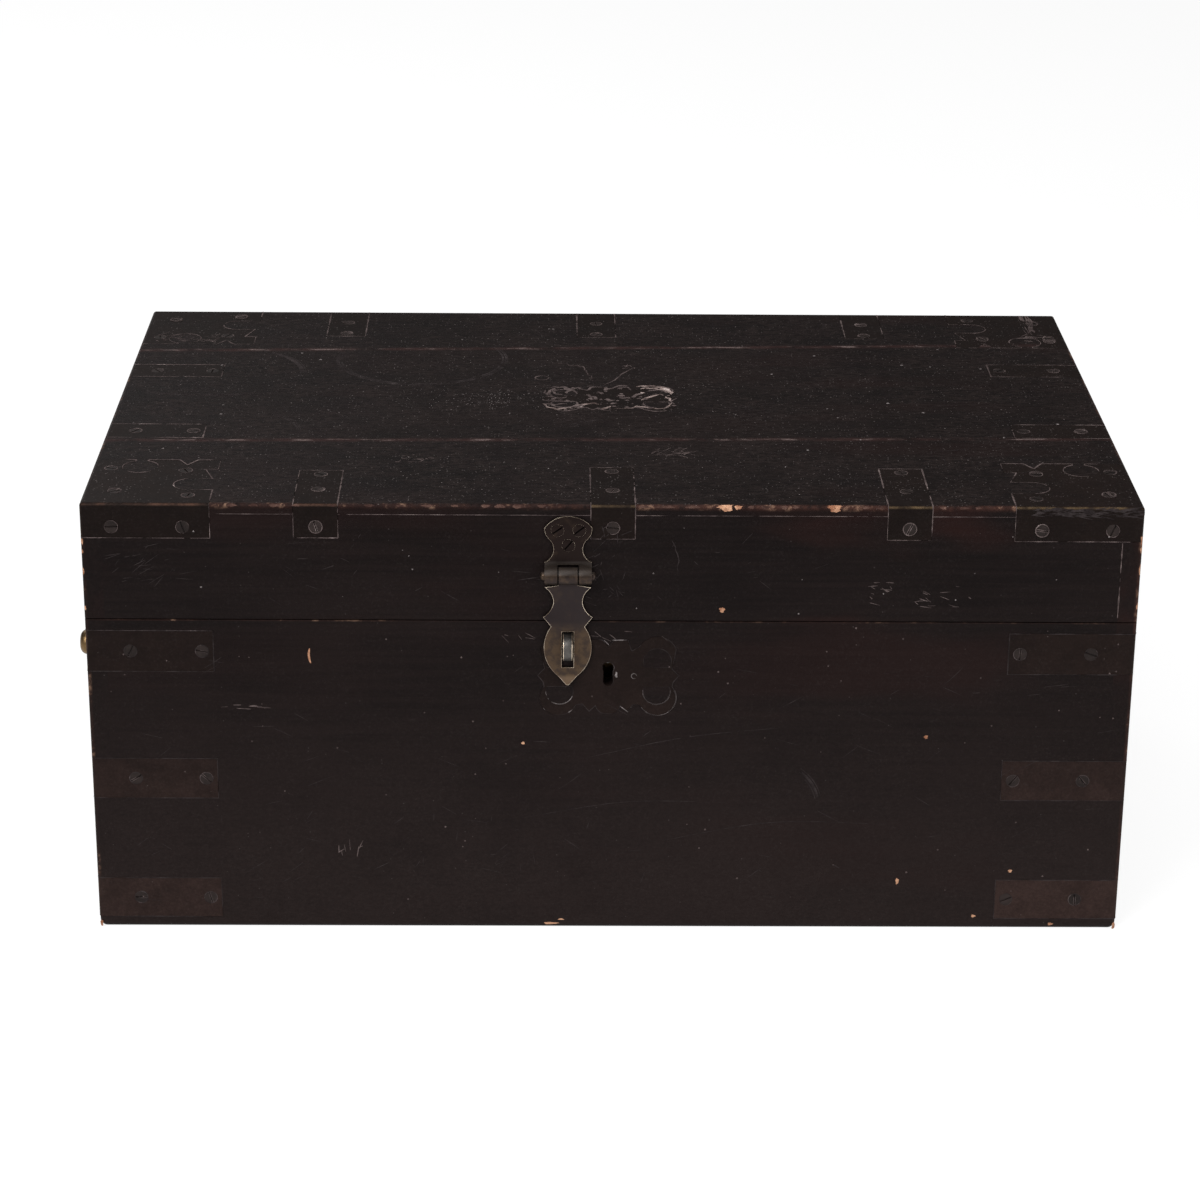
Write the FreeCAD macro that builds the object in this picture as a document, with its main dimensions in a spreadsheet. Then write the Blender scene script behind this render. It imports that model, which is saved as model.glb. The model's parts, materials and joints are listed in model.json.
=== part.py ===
import FreeCAD, Part
import Sketcher
import os
import re

# Brass-bound lacquered trunk. The frame's origin is the middle of the underside, +X runs along
# the width, the front faces -Y and +Z is up. Lengths are millimetres and angles degrees.

os.makedirs("parts", exist_ok=True)
doc = FreeCAD.newDocument("Trunk")
sheet = doc.addObject("Spreadsheet::Sheet", "dims")

DIMENSIONS = [
    # box and boards
    ("chest_width", 700), ("chest_depth", 440), ("chest_height", 310),
    ("board_thickness", 13.5), ("bottom_thickness", 12), ("bottom_round", 5), ("top_thickness", 7),
    ("seam_height", 228.5), ("seam_gap", 0.8), ("edge_round", 2.4), ("board_gap", 0.4),
    # widths of the outer top boards at their two ends
    ("front_board_left", 128), ("front_board_right", 140), ("back_board_left", 104), ("back_board_right", 80),
    # flush brass
    ("brass_thickness", 1.6), ("inlay_clearance", 0.25), ("strap_width", 29.3), ("case_strap_reach", 84.7),
    ("low_strap_height", 23.2), ("mid_strap_height", 112.7), ("high_strap_fall", 22.9),
    ("lid_strap_drop", 23.5), ("end_strap_reach", 68),
    ("front_strap_offset", 195.5), ("front_strap_reach", 75), ("left_front_strap_reach", 67),
    ("back_strap_offset", 197), ("middle_back_strap_place", -7), ("back_strap_reach", 65),
    # end straps, measured from the front and from the back edge
    ("left_end_strap_front", 149), ("left_end_strap_back", 153),
    ("right_end_strap_front", 156), ("right_end_strap_back", 144),
    # lid corner plates, measured from their outer corner
    ("plate_width", 85), ("plate_depth", 87), ("plate_drop", 24),
    ("ring_notch_along", 32), ("ring_notch_radius", 12), ("ring_notch_neck", 8.4), ("ring_notch_inset", 14),
    ("vee_notch_along", 63.5), ("vee_notch_width", 13.5), ("vee_notch_depth", 10.5),
    ("loop_notch_near", 27), ("loop_notch_far", 49), ("loop_notch_length", 27), ("leaf_notch_length", 8.5),
    ("plate_screw_near", 20.4), ("plate_screw_far", 67.2), ("ring_screw_along", 12.8),
    ("ring_screw_depth", 69.6), ("vee_screw_depth", 65.3), ("loop_screw_along", 69.7),
    ("loop_screw_depth", 16.2), ("inner_screw_depth", 24.3),
    # screws
    ("screw_head_radius", 4.4), ("screw_shank_radius", 1.7), ("screw_length", 6.8), ("screw_cone", 3),
    ("screw_slot_width", 1.1), ("screw_slot_depth", 0.8), ("screw_edge", 29.5), ("screw_end_margin", 7.7),
    ("end_screw_edge", 20), ("slack_margin", 1),
    # back hinges
    ("lid_opening", 100), ("stop_margin", 1), ("hinge_inset", 5.5), ("hinge_margin", 120),
    ("hinge_length", 56), ("hinge_leaf", 1.5), ("hinge_flap", 24), ("hinge_knuckle_radius", 3.3),
    ("hinge_pin_radius", 1.5), ("pin_clearance", 0.15), ("knuckle_gap", 0.3), ("hinge_clearance", 0.6),
    ("hinge_screw_fall", 14.4), ("hinge_screw_spacing", 18.7),
    # hasp, with heights above and below the seam and half widths from its middle
    ("hasp_place", -29.4), ("hasp_thickness", 2), ("hasp_axis_rise", 34), ("hasp_knuckle_radius", 5.8),
    ("hasp_pin_radius", 3), ("hasp_pin_end", 3), ("hasp_pin_dome", 2.4), ("hasp_finger_outer", 15.6),
    ("hasp_finger_inner", 6.9), ("hasp_knuckle_half", 6.5), ("hasp_play", 0.3),
    ("hasp_top_rise", 74.5), ("hasp_foot_rise", 42.2), ("head_half", 15.65), ("head_crown", 8),
    ("head_curve_half", 15.1), ("head_curve_fall", 12.2), ("head_neck_half", 12.2), ("head_neck_fall", 16.5),
    ("head_waist_half", 9.7), ("head_waist_rise", 10.5),
    ("head_screw_half", 7.2), ("head_screw_fall", 10), ("foot_screw_fall", 20.5),
    ("leaf_shoulder_rise", 24.5), ("leaf_shoulder_slope", 1.5), ("leaf_shoulder_half", 15.5),
    ("leaf_waist_half", 9.65), ("leaf_waist_rise", 13.5), ("leaf_neck_half", 11), ("leaf_neck_rise", 19.5),
    ("leaf_point_half", 16.5), ("leaf_point_rise", 3.3), ("leaf_curl_half", 12.2), ("leaf_curl_rise", 7.3),
    ("leaf_notch_half", 11.2), ("leaf_notch_fall", 3.5), ("leaf_belly_half", 15.9), ("leaf_belly_fall", 18.2),
    ("leaf_bend_half", 6.65), ("leaf_bend_fall", 38.7), ("leaf_tip_half", 0.8), ("leaf_tip_fall", 44.6),
    ("leaf_bend_angle", 22), ("slot_side_play", 0.85), ("slot_top_play", 1.8), ("slot_foot_play", 5.8),
    # staple, with heights below the seam
    ("staple_width", 6.3), ("staple_strip", 2.8), ("staple_top_fall", 9), ("staple_height", 18),
    ("staple_reach", 12), ("staple_tang", 11),
    # keyhole and scroll plates, with heights below the seam
    ("keyhole_place", -2.2), ("scroll_fall", 39.5), ("scroll_half_width", 47.2),
    ("keyhole_radius", 4), ("keyhole_round_fall", 33.8), ("keyhole_foot_fall", 43.4),
    ("keyhole_foot_radius", 3.55), ("keyhole_waist", 6.5), ("ornament_place", 1.2), ("ornament_set_back", 6),
    ("ornament_half_width", 47.8),
    # lock, with heights below the seam
    ("lock_half_width", 36), ("lock_fall", 65.5), ("lock_depth", 14), ("lock_wall", 1.8),
    ("lock_screw_inset", 6), ("lock_screw_head", 3.5), ("lock_screw_cone", 2), ("bolt_fall", 28),
    ("bolt_height", 6), ("bolt_thickness", 5.8), ("bolt_travel", 6), ("bolt_clearance", 0.3),
    ("lug_thickness", 3.5), ("nose_gap", 1), ("nose_side_play", 0.8), ("nose_end_play", 1.5),
    ("talon_depth", 2.4),
    ("link_offset", 20), ("link_thickness", 3), ("link_depth", 7.6), ("link_inset", 2.9), ("link_gap", 0.5),
    ("link_wall", 1.8), ("link_play", 1), ("link_foot_wall", 2.8), ("eye_height", 8),
    ("link_plate_half", 30), ("link_plate_flap", 22), ("link_screw_offset", 24), ("link_screw_rise", 13.2),
    ("drill_pin_radius", 1.6), ("drill_pin_tip", 1.5), ("stump_radius", 1.5), ("stump_offset", 14),
    ("spring_thickness", 0.8), ("spring_reach", 6), ("spring_tail", 8), ("spring_rise", 6),
    ("spring_tail_rise", 3.2),
    # end handles
    ("handle_height", 146), ("handle_half_span", 58), ("post_radius", 9), ("post_length", 27.5),
    ("post_round", 5), ("rose_radius", 15), ("rose_thickness", 2.5), ("pivot_reach", 17),
    ("trunnion_radius", 3.4), ("bail_radius", 4.6), ("bail_bend", 12),
    ("bail_drop", 46), ("bail_play", 1), ("grip_radius", 5.8), ("grip_length", 44),
    ("shank_radius", 3.5), ("shank_end", 1), ("nut_half", 7), ("nut_thickness", 5),
]
for row, (alias, amount) in enumerate(DIMENSIONS, start=1):
    sheet.set("A%d" % row, alias)
    sheet.set("B%d" % row, str(amount))
    sheet.setAlias("B%d" % row, alias)
doc.recompute()

XY, XZ, YZ = "XY_Plane", "XZ_Plane", "YZ_Plane"
AXES = {"x": FreeCAD.Rotation(FreeCAD.Vector(0, 1, 0), 90),
        "y": FreeCAD.Rotation(FreeCAD.Vector(1, 0, 0), -90),
        "z": FreeCAD.Rotation()}
nodes = {}


# ---- building helpers ---------------------------------------------------------------------

def cells(text):
    """Turn every dimension's name in a formula into a reference to its cell."""
    return re.sub(r"\b[a-z]+(?:_[a-z]+)+\b", lambda found: "dims." + found.group(0), str(text))


def number(text):
    """The present value of a formula."""
    return float(sheet.evalExpression(cells(text)))


def bind(item, formulas):
    """Tie properties of an object to formulas of the sheet's cells."""
    for path, text in formulas.items():
        item.setExpression(path, cells(text))
    return item


def box(name, low, high):
    """A block between two corners, each three formulas."""
    item = doc.addObject("Part::Box", name)
    sides = dict(zip(("Length", "Width", "Height"), ("(%s) - (%s)" % pair for pair in zip(high, low))))
    return bind(item, {**sides, "Placement.Base.x": low[0], "Placement.Base.y": low[1],
                       "Placement.Base.z": low[2]})


def rod(name, axis, radius, length, start):
    """A cylinder along +X, +Y or +Z from a start point."""
    item = doc.addObject("Part::Cylinder", name)
    item.Placement = FreeCAD.Placement(FreeCAD.Vector(), AXES[axis])
    return bind(item, {"Radius": radius, "Height": length, "Placement.Base.x": start[0],
                       "Placement.Base.y": start[1], "Placement.Base.z": start[2]})


def join(name, items):
    """One solid out of several."""
    item = doc.addObject("Part::MultiFuse", name)
    item.Shapes = items
    return item


def group(name, items):
    """Several separate solids in one object."""
    item = doc.addObject("Part::Compound", name)
    item.Links = items
    return item


def cut(name, base, *tools):
    """The base less each tool in turn."""
    for count, tool in enumerate(tools, start=1):
        item = doc.addObject("Part::Cut", name if count == len(tools) else "%s_cut_%d" % (name, count))
        item.Base = base
        item.Tool = tool
        base = item
    return base


def rounded(name, base, radius, wanted):
    """The base with a fillet on each straight edge whose middle passes the test."""
    doc.recompute()
    item = doc.addObject("Part::Fillet", name)
    item.Base = base
    size = number(radius)
    item.Edges = [(count, size, size) for count, edge in enumerate(base.Shape.Edges, start=1)
                  if wanted(edge.BoundBox.Center)]
    return item


def outline(body, plane, name, path):
    """A fully constrained closed sketch. Each step is (u, v) for a line to that point, or
    (u, v, middle u, middle v) for an arc to it."""
    sketch = body.newObject("Sketcher::SketchObject", name)
    sketch.AttachmentSupport = ([item for item in body.Origin.OriginFeatures if item.Role == plane][0], [""])
    sketch.MapMode = "FlatFace"

    def spot(u, v):
        return FreeCAD.Vector(number(u), number(v), 0)

    def pin_down(geometry, end, u, v):
        for kind, formula in (("DistanceX", u), ("DistanceY", v)):
            index = sketch.addConstraint(Sketcher.Constraint(kind, -1, 1, geometry, end, number(formula)))
            sketch.setExpression("Constraints[%d]" % index, cells(formula))

    ends = []
    start = spot(*path[-1][:2])
    for step in path:
        finish = spot(*step[:2])
        if len(step) == 2:
            ends.append((sketch.addGeometry(Part.LineSegment(start, finish), False), 1, 2))
        else:
            middle = spot(*step[2:])
            arc = sketch.addGeometry(Part.Arc(start, middle, finish), False)
            flipped = (sketch.getPoint(arc, 1) - start).Length > (sketch.getPoint(arc, 2) - start).Length
            ends.append((arc, 2, 1) if flipped else (arc, 1, 2))
            mark = sketch.addGeometry(Part.Point(middle), True)
            pin_down(mark, 1, *step[2:])
            sketch.addConstraint(Sketcher.Constraint("PointOnObject", mark, 1, arc))
        start = finish
    for (geometry, _, last), (following, first, _), step in zip(ends, ends[1:] + ends[:1], path):
        sketch.addConstraint(Sketcher.Constraint("Coincident", geometry, last, following, first))
        pin_down(geometry, last, *step[:2])
    return sketch


def prism(name, plane, path, low, high):
    """A body padded from an outline between two places along the plane's normal axis."""
    body = doc.addObject("PartDesign::Body", name)
    sketch = outline(body, plane, name + "_outline", path)
    pad = body.newObject("PartDesign::Pad", name + "_pad")
    pad.Profile = sketch
    pad.Reversed = plane == XZ
    bind(pad, {"Length": "(%s) - (%s)" % (high, low)})
    bind(sketch, {"AttachmentOffset.Base.z": "-(%s)" % low if plane == XZ else low})
    return body


def node(item, name):
    """Name an object as a finished sub-part."""
    item.Label = name
    nodes[name] = item
    return item


# ---- planes of the box --------------------------------------------------------------------

RIGHT, LEFT = "chest_width / 2", "-chest_width / 2"
BACK, FRONT = "chest_depth / 2", "-chest_depth / 2"
INNER_RIGHT, INNER_LEFT = "chest_width / 2 - board_thickness", "board_thickness - chest_width / 2"
INNER_BACK, INNER_FRONT = "chest_depth / 2 - board_thickness", "board_thickness - chest_depth / 2"
CASE_TOP, LID_FOOT = "seam_height - seam_gap / 2", "seam_height + seam_gap / 2"
TOP, TOP_UNDERSIDE = "chest_height", "chest_height - top_thickness"
SIDES = {"left": -1, "right": 1}
DEPTHS = {"front": -1, "back": 1}


# ---- screws -------------------------------------------------------------------------------

screw_head = doc.addObject("Part::Cone", "screw_head")
bind(screw_head, {"Radius1": "screw_head_radius", "Radius2": "screw_shank_radius", "Height": "screw_cone"})
screw_solid = join("screw_solid", [screw_head, rod("screw_shank", "z", "screw_shank_radius", "screw_length",
                                                   ("0", "0", "0"))])
screw_slot = box("screw_slot", ("-screw_head_radius", "-screw_slot_width / 2", "0"),
                 ("screw_head_radius", "screw_slot_width / 2", "screw_slot_depth"))
screw = cut("screw", screw_solid, screw_slot)
INWARD = {"front": (0, 1, 0), "back": (0, -1, 0), "left": (1, 0, 0), "right": (-1, 0, 0), "top": (0, 0, -1),
          "inner_front": (0, -1, 0), "inner_back": (0, 1, 0)}


def placed(name, places, master):
    """Copies of one solid in one object. A place is the face it enters, three formulas for the
    middle of the head, and how far the slot is turned."""
    copies = []
    for face, x, y, z, turn in places:
        drive = FreeCAD.Rotation(FreeCAD.Vector(0, 0, 1), FreeCAD.Vector(*INWARD[face]))
        spin = FreeCAD.Rotation(FreeCAD.Vector(0, 0, 1), turn)
        copy = master.Shape.copy()
        copy.Placement = FreeCAD.Placement(FreeCAD.Vector(number(x), number(y), number(z)), drive * spin)
        copies.append(copy)
    item = doc.addObject("Part::Feature", name)
    item.Shape = Part.makeCompound(copies)
    return item


def screws(name, places, master=screw, solid=screw_solid):
    """A node of screws, and the holes that they fill."""
    master.recompute(True)
    node(placed(name + "_group", places, master), name)
    return placed(name + "_holes", places, solid)


def slot_turn(count):
    """Slots left at the different angles where each screw came tight."""
    return (37 * count) % 180


# ---- case corner straps -------------------------------------------------------------------

def corner_angle(name, side, depth, reach, centre, width, slack):
    """An upright corner's strap: two legs round one corner, with a rounded bend. Slack widens
    and lengthens it into the recess that takes it."""
    across, along = "(%d) * (chest_width / 2" % side, "(%d) * (chest_depth / 2" % depth

    def x(inset):
        return "%s - (%s))" % (across, inset)

    def y(inset):
        return "%s - (%s))" % (along, inset)

    bend = "edge_round * (1 - sqrt(1 / 2))"
    leg = "%s + %s" % (reach, slack)
    path = [(x("edge_round"), y("0")), (x(leg), y("0")), (x(leg), y("brass_thickness")),
            (x("brass_thickness"), y("brass_thickness")), (x("brass_thickness"), y(leg)), (x("0"), y(leg)),
            (x("0"), y("edge_round"))]
    path = path[1:] + [path[0] + (x(bend), y(bend))]
    half = "(%s) / 2 + %s" % (width, slack)
    return prism(name, XY, path, "%s - (%s)" % (centre, half), "%s + %s" % (centre, half))


LEVELS = {"low": "low_strap_height", "mid": "mid_strap_height", "high": "seam_height - high_strap_fall"}
case_strap_blanks = {}
case_recesses = []
case_screw_places = []
for depth_name, depth in DEPTHS.items():
    for side_name, side in SIDES.items():
        corner = "%s_%s" % (depth_name, side_name)
        for level, height in LEVELS.items():
            label = "%s_%s_strap" % (corner, level)
            case_strap_blanks.setdefault(corner, []).append(
                corner_angle(label + "_blank", side, depth, "case_strap_reach", height, "strap_width", "0"))
            case_recesses.append(corner_angle(label + "_recess", side, depth, "case_strap_reach", height,
                                              "strap_width", "inlay_clearance"))
            for inset in ("screw_edge", "case_strap_reach - screw_end_margin"):
                turn = slot_turn(len(case_screw_places))
                case_screw_places.append((depth_name, "(%d) * (chest_width / 2 - (%s))" % (side, inset),
                                          FRONT if depth < 0 else BACK, height, turn))
                along = "(%d) * (chest_depth / 2 - (%s))" % (depth, inset)
                case_screw_places.append((side_name, LEFT if side < 0 else RIGHT, along, height, turn + 20))
case_strap_holes = screws("case_strap_screws", case_screw_places)
for corner, blanks in case_strap_blanks.items():
    straps = [cut(blank.Name + "_drilled", blank, case_strap_holes) for blank in blanks]
    node(group(corner + "_group", straps), "%s_corner_straps" % corner)
case_brass_seat = group("case_brass_seat", case_recesses)


# ---- scroll plates ------------------------------------------------------------------------

SCROLL_GRID = 47.2


def scroll_path(place, height, unit):
    """Outline of the scroll plate, drawn about its middle and scaled by its half width."""
    right_half = [(4.2, 25.8), (13, 25.8), (15.5, 17.8), (21, 21.3), (45.2, 19, 33.4, 28.1), (42.6, 5),
                  (47.2, 0), (43.6, -4.5), (42.8, -8), (21.6, -21.3, 35.1, -28.6), (17, -20.6), (12.6, -26),
                  (8.2, -21.6), (0, -27.6, 5.4, -26.4)]
    left_half = []
    for count in range(len(right_half) - 2, -1, -1):
        u, v = right_half[count][:2]
        bend = right_half[count + 1][2:]
        left_half.append((-u, v, -bend[0], bend[1]) if bend else (-u, v))
    return scaled(right_half + left_half + [(0, 21)], place, height, unit)


def scaled(points, place, height, unit):
    """Formulas for points drawn on the scroll's own grid, SCROLL_GRID units to its half width."""
    middle = (place, height)
    return [tuple("%s + (%s) * (%s) / %s" % (middle[count % 2], unit, value, SCROLL_GRID)
                  for count, value in enumerate(point)) for point in points]


# Each half-moon hole is a chord to its inner end and an arc back to its outer end.
MOONS = {"upper": [(24.6, 6), (41, 6, 32.8, 19.8)], "lower": [(24, -8), (41, -8, 32.5, -20.8)]}


def moon_holes(name, plane, place, height, unit, low, high):
    """The four half-moon holes in a scroll plate's lobes."""
    holes = []
    for level, points in MOONS.items():
        for side_name, side in SIDES.items():
            steps = [tuple(side * value if count % 2 == 0 else value for count, value in enumerate(point))
                     for point in points]
            holes.append(prism("%s_%s_%s_moon" % (name, level, side_name), plane,
                               scaled(steps, place, height, unit), low, high))
    return holes


def scroll_plate(name, plane, place, height, unit, low, high):
    """The plate's blank and the recess it lies in: its own outline, wider by the clearance."""
    blank = prism(name + "_blank", plane, scroll_path(place, height, unit), low, high)
    doc.recompute()
    seat = doc.addObject("Part::Offset2D", name + "_seat_outline")
    seat.Source = doc.getObject(name + "_blank_outline")
    seat.Fill = False
    bind(seat, {"Value": "inlay_clearance"})
    recess = doc.addObject("Part::Extrusion", name + "_recess")
    recess.Base = seat
    recess.DirMode = "Custom"
    recess.Dir = FreeCAD.Vector(0, 0, 1) if plane == XY else FreeCAD.Vector(0, 1, 0)
    recess.Solid = True
    bind(recess, {"LengthFwd": "(%s) - (%s)" % (high, low)})
    moons = moon_holes(name, plane, place, height, unit, low, high)
    return cut(name + "_pierced", blank, *moons), cut(name + "_seat", recess, *moons)


KEYHOLE_ROUND, KEYHOLE_FOOT = "seam_height - keyhole_round_fall", "seam_height - keyhole_foot_fall"
escutcheon, escutcheon_seat = scroll_plate("escutcheon", XZ, "keyhole_place", "seam_height - scroll_fall",
                                           "scroll_half_width", FRONT, FRONT + " + brass_thickness")
ornament, ornament_seat = scroll_plate("ornament", XY, "ornament_place", "ornament_set_back",
                                       "ornament_half_width", "chest_height - brass_thickness", TOP)
before_front = FRONT + " - slack_margin"
round_start = ("keyhole_place", before_front, KEYHOLE_ROUND)
foot_start = ("keyhole_place", before_front, KEYHOLE_FOOT)
keyhole_length = "board_thickness + lock_wall + 2 * slack_margin"
keyhole = join("keyhole", [
    rod("keyhole_round", "y", "keyhole_radius", keyhole_length, round_start),
    rod("keyhole_foot", "y", "keyhole_foot_radius", keyhole_length, foot_start),
    box("keyhole_slot", ("keyhole_place - keyhole_waist / 2", before_front, KEYHOLE_FOOT),
        ("keyhole_place + keyhole_waist / 2", "%s + %s" % (before_front, keyhole_length), KEYHOLE_ROUND))])
node(ornament, "lid_ornament")


# ---- hinges at the back -------------------------------------------------------------------

HINGE_Y = "chest_depth / 2 - hinge_inset"
STOP_SLOPE = "tan((lid_opening + stop_margin) / 2)"
CHAMFER_REACH = "(hinge_inset + slack_margin)"
back_chamfer = prism("back_chamfer", YZ, [
    (HINGE_Y, "seam_height"),
    ("chest_depth / 2 + slack_margin", "seam_height - %s * %s" % (CHAMFER_REACH, STOP_SLOPE)),
    ("chest_depth / 2 + slack_margin", "seam_height + %s * %s" % (CHAMFER_REACH, STOP_SLOPE))],
    LEFT + " - slack_margin", RIGHT + " + slack_margin")


def angle_leaf(name, place, edge, side, slack):
    """A hinge leaf bent over a back wall's edge and on to its inner face. Side is +1 for the
    lid, whose leaf turns up, and -1 for the case."""
    def z(rise):
        return "%s + (%d) * (%s)" % (edge, side, rise)

    sunk = INNER_BACK + " + hinge_leaf"
    path = [(INNER_BACK, z("0")), (INNER_BACK, z("hinge_flap + %s" % slack)),
            (sunk, z("hinge_flap + %s" % slack)), (sunk, z("hinge_leaf")),
            (HINGE_Y, z("hinge_leaf")), (HINGE_Y, z("0"))]
    half = "hinge_length / 2 + %s" % slack
    return prism(name, YZ, path, "%s - (%s)" % (place, half), "%s + %s" % (place, half))


def knuckle_rods(name, place, radius, slack, middle):
    """Rods on the hinge line over the middle knuckle, or over the two outer ones."""
    quarter = "hinge_length / 4"

    def along(label, length, start):
        return rod(name + label, "x", radius, length, (start, HINGE_Y, "seam_height"))

    if middle:
        return [along("_middle", "hinge_length / 2 - knuckle_gap + 2 * (%s)" % slack,
                      "%s - %s + knuckle_gap / 2 - (%s)" % (place, quarter, slack))]
    length = "%s - knuckle_gap / 2 + %s" % (quarter, slack)
    return [along("_near", length, "%s - hinge_length / 2" % place),
            along("_far", length, "%s + %s + knuckle_gap / 2 - (%s)" % (place, quarter, slack))]


hinge_recesses = {"case": [], "lid": []}
hinge_screw_places = {"case": [], "lid": []}
hinge_leaves = []
hinge_pins = []
for side_name, side in SIDES.items():
    place = "(%d) * (chest_width / 2 - hinge_margin)" % side
    bore = rod("hinge_bore_" + side_name, "x", "hinge_pin_radius + pin_clearance",
               "hinge_length + 2 * slack_margin",
               ("%s - hinge_length / 2 - slack_margin" % place, HINGE_Y, "seam_height"))
    barrel = rod("hinge_barrel_" + side_name, "x", "hinge_knuckle_radius + hinge_clearance",
                 "hinge_length + 2 * hinge_clearance",
                 ("%s - hinge_length / 2 - hinge_clearance" % place, HINGE_Y, "seam_height"))
    for part, edge, turn in (("case", CASE_TOP, -1), ("lid", LID_FOOT, 1)):
        label = "%s_hinge_leaf_%s" % (part, side_name)
        own = knuckle_rods(label + "_knuckle", place, "hinge_knuckle_radius", "0", part == "lid")
        other = knuckle_rods(label + "_relief", place, "hinge_knuckle_radius + hinge_clearance",
                             "knuckle_gap", part == "case")
        flap = cut(label + "_flap", angle_leaf(label + "_strip", place, edge, turn, "0"), *other)
        hinge_recesses[part] += [angle_leaf(label + "_recess", place, edge, turn, "inlay_clearance"), barrel]
        for step in (-1, 0, 1):
            along = "%s + (%d) * hinge_screw_spacing" % (place, step)
            height = "%s + (%d) * hinge_screw_fall" % (edge, turn)
            hinge_screw_places[part].append(("inner_back", along, INNER_BACK, height, slot_turn(step + 5)))
        leaf = cut(label + "_bored", join(label + "_blank", [flap] + own), bore)
        hinge_leaves.append((part, label, leaf))
    hinge_pins.append(rod("hinge_pin_" + side_name, "x", "hinge_pin_radius", "hinge_length",
                          ("%s - hinge_length / 2" % place, HINGE_Y, "seam_height")))
node(group("hinge_pin_pair", hinge_pins), "hinge_pins")


# ---- lid straps and corner plates ---------------------------------------------------------

def edge_strap(name, plane, outer, sign, reach, drop, low, high, slack):
    """A strap over one top edge: a leg on the top and a leg down the face at the outer place.
    Sign is the side that the face looks to."""
    def v(inset):
        return "%s - (%d) * (%s)" % (outer, sign, inset)

    def z(depth):
        return "chest_height - (%s)" % depth

    bend = "edge_round * (1 - sqrt(1 / 2))"
    end, foot = "%s + %s" % (reach, slack), "%s + %s" % (drop, slack)
    path = [(v(end), z("0")), (v(end), z("brass_thickness")), (v("brass_thickness"), z("brass_thickness")),
            (v("brass_thickness"), z(foot)), (v("0"), z(foot)), (v("0"), z("edge_round")),
            (v("edge_round"), z("0"), v(bend), z(bend))]
    return prism(name, plane, path, "%s - %s" % (low, slack), "%s + %s" % (high, slack))


lid_recesses = []
lid_blanks = {}
lid_screw_places = []


def lid_strap(name, face, middle, reach):
    """One lid strap's blank, its recess and its three screws."""
    across = face in DEPTHS
    sign = DEPTHS[face] if across else SIDES[face]
    outer = ("(%d) * chest_depth / 2" if across else "(%d) * chest_width / 2") % sign
    low, high = "%s - strap_width / 2" % middle, "%s + strap_width / 2" % middle
    plane = YZ if across else XZ
    shape = (plane, outer, sign, reach, "lid_strap_drop", low, high)
    lid_blanks[name] = edge_strap(name + "_blank", *shape, "0")
    lid_recesses.append(edge_strap(name + "_recess", *shape, "inlay_clearance"))
    for inset in ("screw_edge" if across else "end_screw_edge", "%s - screw_end_margin" % reach):
        along = "%s - (%d) * (%s)" % (outer, sign, inset)
        spot = (middle, along) if across else (along, middle)
        lid_screw_places.append(("top",) + spot + (TOP, slot_turn(len(lid_screw_places))))
    spot = (middle, outer) if across else (outer, middle)
    lid_screw_places.append((face,) + spot + ("chest_height - lid_strap_drop + screw_end_margin",
                                              slot_turn(len(lid_screw_places))))


lid_strap("lid_front_strap_left", "front", "-front_strap_offset", "left_front_strap_reach")
lid_strap("lid_front_strap_middle", "front", "0", "front_strap_reach")
lid_strap("lid_front_strap_right", "front", "front_strap_offset", "front_strap_reach")
lid_strap("lid_back_strap_left", "back", "-back_strap_offset", "back_strap_reach")
lid_strap("lid_back_strap_middle", "back", "middle_back_strap_place", "back_strap_reach")
lid_strap("lid_back_strap_right", "back", "back_strap_offset", "back_strap_reach")
for side_name in SIDES:
    for depth_name in DEPTHS:
        middle = "(%d) * (chest_depth / 2 - %s_end_strap_%s)" % (DEPTHS[depth_name], side_name, depth_name)
        lid_strap("lid_%s_strap_%s" % (side_name, depth_name), side_name, middle, "end_strap_reach")


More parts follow.
